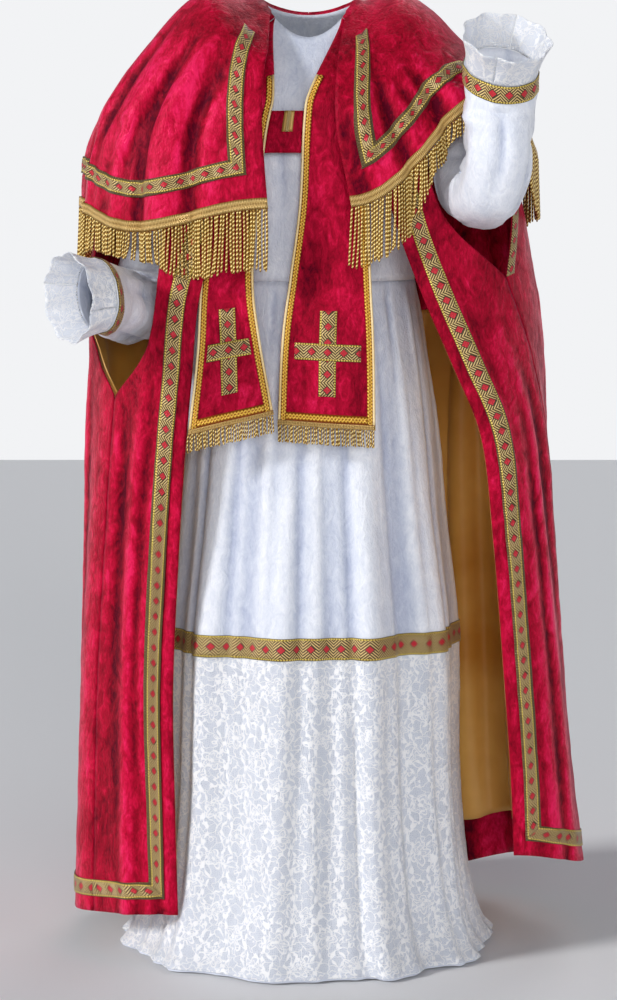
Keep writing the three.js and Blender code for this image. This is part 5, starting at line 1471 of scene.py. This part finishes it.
def cord_template():
    """A cord as an open grid with its UV map: across is round it and down is along it."""
    bm = bmesh.new()
    segments = len(CORD_RINGS) - 1
    bmesh.ops.create_grid(bm, x_segments=CORD_SIDES, y_segments=segments, size=0.5, calc_uvs=False)
    uv_layer = bm.loops.layers.uv.new("cloth")
    for face in bm.faces:
        for loop in face.loops:
            row = round((0.5 - loop.vert.co.y) * segments)
            loop[uv_layer].uv = (loop.vert.co.x + 0.5, CORD_RINGS[row][0])
    mesh = bpy.data.meshes.new("cord template")
    bm.to_mesh(mesh)
    bm.free()
    return mesh


def hang_strands(hem, spacing, width, drop, seed, lean, sway=4.0):
    """Twisted cords hung from a hem. `hem` gives for a share the point, the way out of the
    cloth and the way along it; lengths are in mm."""
    chance = random.Random(seed)
    template = cord_template()
    shares = spread(0, 1, 400)
    points = [hem(share)[0] for share in shares]
    gone = np.concatenate([[0], np.cumsum([np.linalg.norm(b - a) for a, b in zip(points, points[1:])])])
    bm = bmesh.new()
    uv_layer = bm.loops.layers.uv.new("cloth")
    segments = len(CORD_RINGS) - 1
    for k in range(int(gone[-1] / spacing)):
        place = (k + 0.3 + chance.uniform(-0.22, 0.22)) * spacing
        share = float(np.interp(place, gone, shares))
        root, out, along = hem(share)
        length = drop(share) * chance.uniform(0.95, 1.03)
        bunch = lean * noise.noise(Vector((place * 0.035, seed, 0.5))) + chance.uniform(-1.6, 1.6)
        forward = chance.uniform(-0.4, 0.4) + width * 0.1
        bow = chance.uniform(-1.5, 1.5)
        radius = width / 2 * chance.uniform(0.9, 1.08)
        first_turn = chance.uniform(0, 1)
        verts_before, faces_before = len(bm.verts), len(bm.faces)
        bm.from_mesh(template)
        bm.verts.ensure_lookup_table()
        bm.faces.ensure_lookup_table()
        for face in bm.faces[faces_before:]:
            for loop in face.loops:
                u, v = loop[uv_layer].uv
                loop[uv_layer].uv = (u + first_turn, v * length * 0.001)
        for vert in bm.verts[verts_before:]:
            angle = 2 * math.pi * (vert.co.x + 0.5)
            t, wide = CORD_RINGS[round((0.5 - vert.co.y) * segments)]
            centre = root + out * (forward + sway * t) - np.array((0, 0, length * t))
            centre = centre + along * (bunch * t * t + bow * math.sin(math.pi * t))
            ring = along * math.cos(angle) - out * math.sin(angle)
            vert.co = to_metres(centre + ring * radius * wide)
    bpy.data.meshes.remove(template)
    bmesh.ops.remove_doubles(bm, verts=bm.verts, dist=1e-6)
    bmesh.ops.recalc_face_normals(bm, faces=bm.faces)
    return bm


def level_out(direction):
    """A direction laid level, of length one."""
    flat = np.array((direction[0], direction[1], 0.0))
    return flat / max(np.linalg.norm(flat), 1e-9)


# Sewing the costume.


class Workshop:
    """The surfaces, finishes and sizes that the operators share."""

    made = None

    def __init__(self, settings):
        self.step = settings.cloth_step
        self.crumple = settings.crumple * 1000
        self.spacing = settings.strand_spacing * 1000
        self.width = settings.strand_width * 1000
        self.drape = Drape(self.crumple)
        self.finishes = Finishes()
        self.stole = {side: stole_place(self.drape, side) for side in (1, -1)}

    def steps(self, length_mm):
        return steps_for(length_mm, self.step)


def workshop(context):
    if Workshop.made is None:
        Workshop.made = Workshop(context.scene.costume)
    return Workshop.made


NAMES = {1: "right", -1: "left"}
PANELS = {"front": (-0.5, 0.5), "back": (0.5, 1.5)}


def panel_place(halves, start, end):
    """A front or back panel's surface, its sides just clear of the side seams."""

    def place(across, at):
        gap = SEAM / halves[1].length(at)
        return whole(halves, mix(start + gap, end - gap, across), at)

    return place


class CostumeOperator(bpy.types.Operator):
    """An operator that sews its pieces in the shared workshop."""

    bl_options = {"REGISTER", "UNDO"}

    def execute(self, context):
        self.sew_pieces(workshop(context))
        return {"FINISHED"}


class COSTUME_OT_sew_alb(CostumeOperator):
    """Sews the alb: bodice, skirt, braid band, lace flounce and the plain skirt under it"""

    bl_idname = "costume.sew_alb"
    bl_label = "Sew the alb"

    def sew_pieces(self, shop):
        bodice, skirt = shop.drape.bodice, shop.drape.skirt
        finishes = shop.finishes
        band_half = SEAM_BAND / 2 / WAIST_HEIGHT
        seam = SEAM / WAIST_HEIGHT
        inset, top, low = ARMHOLE["inset"], ARMHOLE["top"], ARMHOLE["low"]
        # A row or column that lies on the armhole's edge counts as past it.
        near = 0.0001
        for half, (start, end) in PANELS.items():
            place = panel_place(bodice, start, end)
            columns = broken_spread([0, inset, 1 - inset, 1], 1 / shop.steps(470))
            rows = broken_spread([0, top, low, 1], 1 / shop.steps(400))

            def armhole(i, j):
                beside = columns[i] < inset - near or columns[i] > 1 - inset - near
                return beside and top - near < rows[j] < low - near

            laid = lay_cloth(columns, rows, place, ALB_CLOTH, hole=armhole)
            name = f"alb_bodice_{half}"
            sew(f"Alb bodice {half}", laid, ALB_CLOTH, finishes.white_velvet, [name])

            place = panel_place(skirt, start, end)
            columns = spread(0, 1, shop.steps(880))
            rows = spread(0, BAND_AT - seam, shop.steps(575))
            laid = lay_cloth(columns, rows, place, ALB_CLOTH)
            name = f"alb_skirt_{half}"
            cloth = finishes.white_velvet
            sew(f"Alb skirt {half}", laid, ALB_CLOTH, cloth, [name])

            rows = spread(BAND_AT + seam, SKIRT_END, shop.steps(500))
            laid = lay_cloth(columns, rows, flounce_place(place), LACE_CLOTH)
            name = f"lace_flounce_{half}"
            cloth = finishes.white_lace
            sew(f"Lace flounce {half}", laid, LACE_CLOTH, cloth, [name])

            rows = spread(BAND_AT - band_half, SKIRT_END, shop.steps(520))

            def under(across, at):
                return mix(-SEAM, -UNDERSKIRT_INSIDE, soft_step((at - rows[0]) / 0.04))

            laid = lay_cloth(columns, rows, place, under)
            name = f"underskirt_{half}"
            cloth = finishes.white_cotton
            sew(f"Underskirt {half}", laid, UNDERSKIRT_CLOTH, cloth, [name])

            columns = spread(0, 1, 2 * shop.steps(880))
            rows = spread(BAND_AT - band_half, BAND_AT + band_half, 4)
            laid = lay_cloth(columns, rows, place, ON_ALB + 0.5)
            name = f"skirt_band_{half}"
            sew(f"Skirt band {half}", laid, BRAID, finishes.wide_braid, [name])


def flounce_place(place):
    """The lace flounce stands out in small gathers below the band."""

    def gathered(across, at):
        point = place(across, at)
        below = soft_step((at - BAND_AT) / 0.08)
        ripple = 1.3 * math.sin(95 * across + 5 * at) + 1.0 * noise.noise(Vector(point) * 0.045)
        direction = level_out((point[0], point[1], 0))
        return point + direction * ripple * below

    return gathered


class COSTUME_OT_sew_sleeves(CostumeOperator):
    """Sews both sleeves with their braid and lace cuffs"""

    bl_idname = "costume.sew_sleeves"
    bl_label = "Sew the sleeves"

    def sew_pieces(self, shop):
        finishes = shop.finishes
        round_steps = shop.steps(350)
        turns = spread(0, 2 * math.pi, round_steps)
        for name, arm in ARMS.items():
            sleeve = Sleeve(arm, shop.drape.bodice, 1.8 * shop.crumple)
            flip = sleeve.side == 1
            head = spread(-sleeve.HEAD_MM, 0, shop.steps(sleeve.HEAD_MM))
            down = head + spread(0, sleeve.total, shop.steps(sleeve.total))[1:]
            laid = lay_cloth(turns, down, sleeve.place, ALB_CLOTH, flip=flip, closed=True)
            sew(f"Sleeve {name}", laid, ALB_CLOTH, finishes.white_velvet, [f"sleeve_{name}"])

            cuff = spread(sleeve.total - BRAID_WIDTH, sleeve.total, 4)
            around = spread(0, 2 * math.pi, 2 * round_steps)
            lift = ON_ALB + 0.3
            laid = lay_cloth(around, cuff, sleeve.place, lift, flip=flip, closed=True)
            braid = f"cuff_braid_{name}"
            sew(f"Cuff braid {name}", laid, BRAID, finishes.gold_braid, [braid])

            for half, first in (("outer", 0), ("inner", math.pi)):
                place = lace_cuff_place(sleeve, first)
                laid = lay_cloth(spread(0, 1, 44), spread(0, 1, 12), place, LACE_CLOTH)
                lace = f"cuff_lace_{name}_{half}"
                sew(f"Cuff lace {name} {half}", laid, LACE_CLOTH, finishes.white_lace, [lace])


class COSTUME_OT_sew_cape(CostumeOperator):
    """Sews the long cape with its arm slits, satin lining and braids"""

    bl_idname = "costume.sew_cape"
    bl_label = "Sew the cape"

    def sew_pieces(self, shop):
        cape, finishes = shop.drape.cape, shop.finishes
        rows = spread(0, 1, shop.steps(1420))
        braid_lift = ON_VELVET + 0.5

        def back(across, at):
            return whole(cape, back_around(cape, across, at), at)

        def back_places(across, at):
            return back_around(cape, across, at)

        panels = {"back": (back, back_places, shop.steps(2350))}
        for side, half in cape.items():

            def front(across, at, side=side, half=half):
                return half.place(front_share(cape, side, across, at), at)

            def front_places(across, at, side=side):
                return side * front_share(cape, side, across, at)

            panels[f"front_{NAMES[side]}"] = (front, front_places, shop.steps(290))
        for name, (place, places, wide) in panels.items():
            columns = spread(0, 1, wide)
            laid = lay_cloth(columns, rows, place, VELVET)
            title = name.replace("_", " ")
            sew(f"Cape {title}", laid, VELVET, finishes.crimson_velvet, [f"cape_{name}"])
            self.line_panel(shop, name, title, place, places, columns)
        for side, half in cape.items():
            last = CAPE_SEAM[side] - SEAM / half.length(1)
            laid = bound_edge(half, EDGE_INSET, CAPE_BRAID_TOP, HEM_BRAID, last, braid_lift, shop.step)
            name = NAMES[side]
            sew(f"Cape braid {name}", laid, BRAID, finishes.gold_braid, [f"cape_braid_{name}"])
        self.braid_back(shop, cape, braid_lift)

    def line_panel(self, shop, name, title, place, places, columns):
        """The satin lining: sewn close at its front edge and top, slack and folded between."""
        edge = {"front_right": 0, "front_left": 1, "back": None}[name]

        def slack(across, at):
            loose = soft_step((at - LINING_TOP) / 0.08)
            if edge is not None:
                loose *= soft_step(abs(across - edge) / 0.3)
            around = places(across, at)
            around = around - 2 if around > 1 else around
            fold = float(fold_field(LINING_FOLDS, np.array(around), np.array(at)))
            return mix(-SEAM, min(fold, 3.0) - LINING_SLACK, loose)

        rows = spread(LINING_TOP, LINING_LOW, shop.steps(760))
        laid = lay_cloth(columns, rows, place, slack)
        finish = shop.finishes.ochre_satin
        sew(f"Lining {title}", laid, LINING_CLOTH, finish, [f"lining_{name}"])

    def braid_back(self, shop, cape, lift):
        """The braid on the back's hem, and the short one beside the +X slit."""
        heights = (HEM_BRAID, HEM_BRAID + BRAID_WIDTH)
        columns = spread(0, 1, 2 * shop.steps(2350))
        arounds = {a: back_around(cape, a, 1) for a in columns}
        ends = {}
        for a, around in arounds.items():
            half = cape[1] if 0 <= around <= 1 else cape[-1]
            share = around if 0 <= around <= 1 else 2 - around
            ends[a] = [half.above_hem(share, height) for height in heights]

        def hem(across, share):
            low, top = ends[across]
            return whole(cape, arounds[across], mix(top, low, share))

        def beside_slit(across, share):
            at = mix(SLIT_BRAID["from"], SLIT_BRAID["to"], share)
            inset = (SEAM + SLIT_BRAID["wide"] * across) / cape[1].length(at)
            return whole(cape, slit_edge(1, "back", at) + inset, at)

        finish = shop.finishes.gold_braid
        laid = lay_cloth(columns, spread(0, 1, 4), hem, lift)
        sew("Cape braid back", laid, BRAID, finish, ["cape_braid_back"])
        laid = lay_cloth(spread(0, 1, 3), spread(0, 1, shop.steps(600)), beside_slit, lift, along="down")
        sew("Slit braid", laid, BRAID, finish, ["slit_braid"])


class COSTUME_OT_sew_shoulder_cape(CostumeOperator):
    """Sews the shoulder cape with its braid and the long twisted fringe"""

    bl_idname = "costume.sew_shoulder_cape"
    bl_label = "Sew the shoulder cape"

    def sew_pieces(self, shop):
        for side, half in shop.drape.shoulder.items():
            self.sew_side(shop, side, half)

    def sew_side(self, shop, side, half):
        finishes, name = shop.finishes, NAMES[side]

        def inward(across, at):
            return (across if side == 1 else 1 - across) * (1 - SEAM / half.length(at))

        def place(across, at):
            return half.place(inward(across, at), at)

        columns, rows = spread(0, 1, shop.steps(900)), spread(0, 1, shop.steps(430))
        laid = lay_cloth(columns, rows, place, VELVET)
        node = f"shoulder_cape_{name}"
        sew(f"Shoulder cape {name}", laid, VELVET, finishes.crimson_velvet, [node])

        last = 1 - SEAM / half.length(1)
        inset, above = SHOULDER_BRAID["inset"], SHOULDER_BRAID["above"]
        lift = ON_VELVET + 0.5
        laid = bound_edge(half, inset, 0.08, above, last, lift, shop.step)
        node = f"shoulder_braid_{name}"
        sew(f"Shoulder braid {name}", laid, BRAID, finishes.gold_braid, [node])

        columns = spread(0, 1, 2 * shop.steps(900))
        tops = {a: half.above_hem(inward(a, 1), FRINGE_HEAD - 1.2) for a in columns}

        def head(across, share):
            return place(across, mix(tops[across], 1, share))

        laid = lay_cloth(columns, spread(0, 1, 4), head, VELVET + 2.5, bulge=0.8)
        sew(f"Fringe heading {name}", laid, 1.6, finishes.fringe_head)

        def surface(across, at):
            return place(min(max(across, 0), 1), at)

        def hem(share):
            across = share if side == 1 else 1 - share
            point = place(across, 1)
            ahead = surface(across + 0.01, 1) - surface(across - 0.01, 1)
            along = level_out(ahead)
            out = np.array((along[1], -along[0], 0.0))
            return point + out * (VELVET + 0.6), out, along

        def drop(share):
            return read(SHOULDER_DROP[side], "drop", share)

        bm = hang_strands(hem, shop.spacing, shop.width, drop, 3 + side, lean=10.0)
        finish = finishes.gold_fringe
        make_object(f"Shoulder fringe {name}", bm, finish, [f"shoulder_fringe_{name}"])


class COSTUME_OT_sew_stole(CostumeOperator):
    """Sews the stole with its neck piece, chest band, gimp, crosses and short fringes"""

    bl_idname = "costume.sew_stole"
    bl_label = "Sew the stole"

    def sew_pieces(self, shop):
        self.sew_neck(shop)
        for side in (1, -1):
            self.sew_panel(shop, side)
            self.trim_panel(shop, side)
            self.fringe_panel(shop, side)
        self.sew_chest(shop)

    def sew_neck(self, shop):
        def place(across, share):
            around = mix(NECK_PIECE["starts"], NECK_PIECE["ends"], across)
            return whole(shop.drape.bodice, around, NECK_PIECE["depth"] * share)

        laid = lay_cloth(spread(0, 1, 60), spread(0, 1, 10), place, ALB_CLOTH + SEAM + VELVET)
        finish = shop.finishes.crimson_velvet
        sew("Stole neck piece", laid, VELVET, finish, ["stole_neck"])

    def sew_panel(self, shop, side):
        place = shop.stole[side]
        laid = lay_cloth(spread(0, 1, 22), spread(0, 1, shop.steps(600) * 2), place, VELVET)
        name = NAMES[side]
        cloth = shop.finishes.crimson_velvet
        sew(f"Stole panel {name}", laid, VELVET, cloth, [f"stole_{name}"])

    def trim_panel(self, shop, side):
        place, name, finishes = shop.stole[side], NAMES[side], shop.finishes
        above = stole_heights(place)

        def width(at):
            return float(np.linalg.norm(place(1, at) - place(0, at)))

        top, low = GIMP_TOP_SHARE, above(GIMP_LOW)
        lengthwise = spread(0, 1, 90)
        laid = {"gimp": [], "piping": []}
        for edge in (0, 1):
            for kind, inner, outer in (("gimp", 4.4, GIMP_WIDTH), ("piping", 0.2, 4.4)):

                def strip(across, share, edge=edge, inner=inner, outer=outer):
                    at = mix(top, low, share)
                    inset = mix(inner, outer, across if edge == 0 else 1 - across) / width(at)
                    return place(inset if edge == 0 else 1 - inset, at)

                proud = 0.9 if kind == "gimp" else 1.4
                columns = spread(0, 1, 3 if kind == "gimp" else 4)
                laid[kind].append(
                    lay_cloth(columns, lengthwise, strip, VELVET + 1.5, along="down", bulge=proud)
                )

        def bottom(across, share):
            at = above(mix(GIMP_LOW + GIMP_WIDTH, GIMP_LOW, share))
            inset = GIMP_WIDTH / width(at)
            return place(mix(inset, 1 - inset, across), at)

        laid["gimp"].append(lay_cloth(spread(0, 1, 30), spread(0, 1, 3), bottom, VELVET + 1.5, bulge=0.9))
        gimp = joined(laid["gimp"])
        sew(f"Stole gimp {name}", gimp, 1.1, finishes.gold_gimp, [f"stole_gimp_{name}"])
        piping = joined(laid["piping"])
        sew(f"Stole piping {name}", piping, 1.1, finishes.gold_piping, sheet=False)

        lift = ON_VELVET + 0.3

        def post(across, share):
            at = above(mix(CROSS["top"], CROSS["foot"], share))
            return place(0.5 + (across - 0.5) * BRAID_WIDTH / width(at), at)

        def arms(across, share):
            at = above(mix(CROSS["arms"], CROSS["arms"] - BRAID_WIDTH, share))
            reach = min(CROSS["reach"], width(at) / 2 - GIMP_WIDTH - CROSS["clear_of_gimp"])
            return place(0.5 + (2 * across - 1) * reach / width(at), at)

        cross = joined(
            [
                lay_cloth(spread(0, 1, 4), spread(0, 1, 26), post, lift, along="down"),
                lay_cloth(spread(0, 1, 20), spread(0, 1, 4), arms, lift + 0.5),
            ]
        )
        sew(f"Stole cross {name}", cross, BRAID, finishes.gold_braid, [f"stole_cross_{name}"])

    def fringe_panel(self, shop, side):
        place, name, finishes = shop.stole[side], NAMES[side], shop.finishes
        above = stole_heights(place)

        def head(across, share):
            return place(across, mix(above(GIMP_LOW - 0.6), 1, share))

        laid = lay_cloth(spread(0, 1, 26), spread(0, 1, 3), head, VELVET + 1.6, bulge=0.5)
        sew(f"Stole fringe heading {name}", laid, 1.2, finishes.fringe_head, sheet=False)

        def hem(share):
            point = place(share, 1)
            ahead = place(min(share + 0.02, 1), 1) - place(max(share - 0.02, 0), 1)
            along = level_out(ahead)
            out = np.array((along[1], -along[0], 0.0))
            return point + out * (VELVET + 0.4), out, along

        spacing, width = STOLE_FRINGE["spacing"], STOLE_FRINGE["width"]
        drop = STOLE_FRINGE["drop"]
        bm = hang_strands(hem, spacing, width, lambda share: drop, 9 + side, lean=2.0, sway=1.5)
        node = f"stole_fringe_{name}"
        make_object(f"Stole fringe {name}", bm, finishes.gold_fringe, [node])

    def sew_chest(self, shop):
        right, left = shop.stole[1], shop.stole[-1]

        def chest(across, share):
            at = mix(CHEST_BAND["top"], CHEST_BAND["low"], share)
            return mix(left(1, at), right(0, at), across)

        gap = CHEST_BAND["gap"]
        laid = lay_cloth(spread(gap, 1 - gap, 12), spread(0, 1, 10), chest, VELVET)
        finish = shop.finishes.crimson_velvet
        sew("Stole chest band", laid, VELVET, finish, ["stole_chest_band"])
        start, end = CHEST_BAND["strip"]
        laid = lay_cloth(
            spread(start, end, 5), spread(0, 0.5, 8), chest, ON_VELVET + 0.2, along="down"
        )
        sew("Chest strip", laid, BRAID, shop.finishes.chest_strip, ["chest_strip"])


def stole_heights(place):
    """For a height in mm above a stole panel's lower edge, its share of the depth."""
    ats = spread(1, 0.5, 200)
    points = [place(0.5, at) for at in ats]
    gone = np.concatenate([[0], np.cumsum([np.linalg.norm(b - a) for a, b in zip(points, points[1:])])])
    return lambda height: float(np.interp(height, gone, ats))


class COSTUME_OT_set_stage(bpy.types.Operator):
    """Sets up the pale studio floor, the soft lights and the camera"""

    bl_idname = "costume.set_stage"
    bl_label = "Set the stage"
    bl_options = {"REGISTER", "UNDO"}

    def execute(self, context):
        settings, scene = context.scene.costume, context.scene
        floor_z = float(CAD_BOX[0][2])
        bm = bmesh.new()
        bmesh.ops.create_grid(bm, x_segments=1, y_segments=1, size=6, calc_uvs=False)
        bmesh.ops.translate(bm, verts=bm.verts, vec=(0, 2, floor_z))
        mesh = bpy.data.meshes.new("Studio floor")
        bm.to_mesh(mesh)
        bm.free()
        floor = bpy.data.objects.new("Studio floor", mesh)
        scene.collection.objects.link(floor)
        finish, _, surface, _ = new_finish("Pale studio floor")
        surface.inputs["Base Color"].default_value = (*settings.floor_colour, 1)
        surface.inputs["Roughness"].default_value = 0.75
        mesh.materials.append(finish)
        lights = (
            ("Key light", (-0.95, -0.42, 0.5), 10, 2.1),
            ("Front light", (0.1, -1.0, 0.24), 24, 0.95),
            ("Fill light", (0.8, -0.7, 0.3), 24, 0.25),
            ("Rim light", (0.3, 0.9, 0.8), 24, 0.35),
        )
        for name, comes_from, soft_degrees, power in lights:
            lamp = bpy.data.lights.new(name, "SUN")
            lamp.energy, lamp.angle = power, math.radians(soft_degrees)
            made = bpy.data.objects.new(name, lamp)
            made.rotation_euler = Vector(comes_from).to_track_quat("Z", "Y").to_euler()
            scene.collection.objects.link(made)
        world = bpy.data.worlds.new("Pale studio")
        world.use_nodes = True
        tree = world.node_tree
        direction = add_node(tree, "ShaderNodeTexCoord").outputs["Generated"]
        height = add_node(tree, "ShaderNodeSeparateXYZ", {"Vector": direction}).outputs["Z"]
        sky = add_node(
            tree, "ShaderNodeValToRGB", {"Fac": height}, stops=((0.08, "F2F3F5"), (0.26, "62666E"))
        )
        tree.links.new(sky.outputs["Color"], tree.nodes["Background"].inputs["Color"])
        scene.world = world
        camera = bpy.data.objects.new("Camera", bpy.data.cameras.new("Camera"))
        camera.data.lens = 100.8
        camera.data.clip_end = 100
        camera.location = (0, -settings.camera_distance, -0.23)
        camera.rotation_euler = (math.radians(83.5), 0, 0)
        scene.collection.objects.link(camera)
        scene.camera = camera
        scene.view_settings.view_transform = "Standard"
        return {"FINISHED"}


SEWING = (
    COSTUME_OT_sew_alb,
    COSTUME_OT_sew_sleeves,
    COSTUME_OT_sew_cape,
    COSTUME_OT_sew_shoulder_cape,
    COSTUME_OT_sew_stole,
    COSTUME_OT_set_stage,
)


class COSTUME_PT_panel(bpy.types.Panel):
    """Lists the sizes and the pieces of the costume"""

    bl_idname = "COSTUME_PT_panel"
    bl_label = "Saint Nicholas Costume"
    bl_space_type = "VIEW_3D"
    bl_region_type = "UI"
    bl_category = "Costume"

    def draw(self, context):
        settings = context.scene.costume
        for key in settings.bl_rna.properties.keys():
            if key not in ("rna_type", "name"):
                self.layout.prop(settings, key)
        for operator in SEWING:
            self.layout.operator(operator.bl_idname)


def register():
    bpy.utils.register_class(CostumeSettings)
    bpy.types.Scene.costume = PointerProperty(type=CostumeSettings)
    for operator in SEWING:
        bpy.utils.register_class(operator)
    bpy.utils.register_class(COSTUME_PT_panel)


def unregister():
    bpy.utils.unregister_class(COSTUME_PT_panel)
    for operator in reversed(SEWING):
        bpy.utils.unregister_class(operator)
    del bpy.types.Scene.costume
    bpy.utils.unregister_class(CostumeSettings)


def main():
    register()
    bpy.ops.costume.sew_alb()
    bpy.ops.costume.sew_sleeves()
    bpy.ops.costume.sew_cape()
    bpy.ops.costume.sew_shoulder_cape()
    bpy.ops.costume.sew_stole()
    bpy.ops.costume.set_stage()


if __name__ == "__main__":
    main()
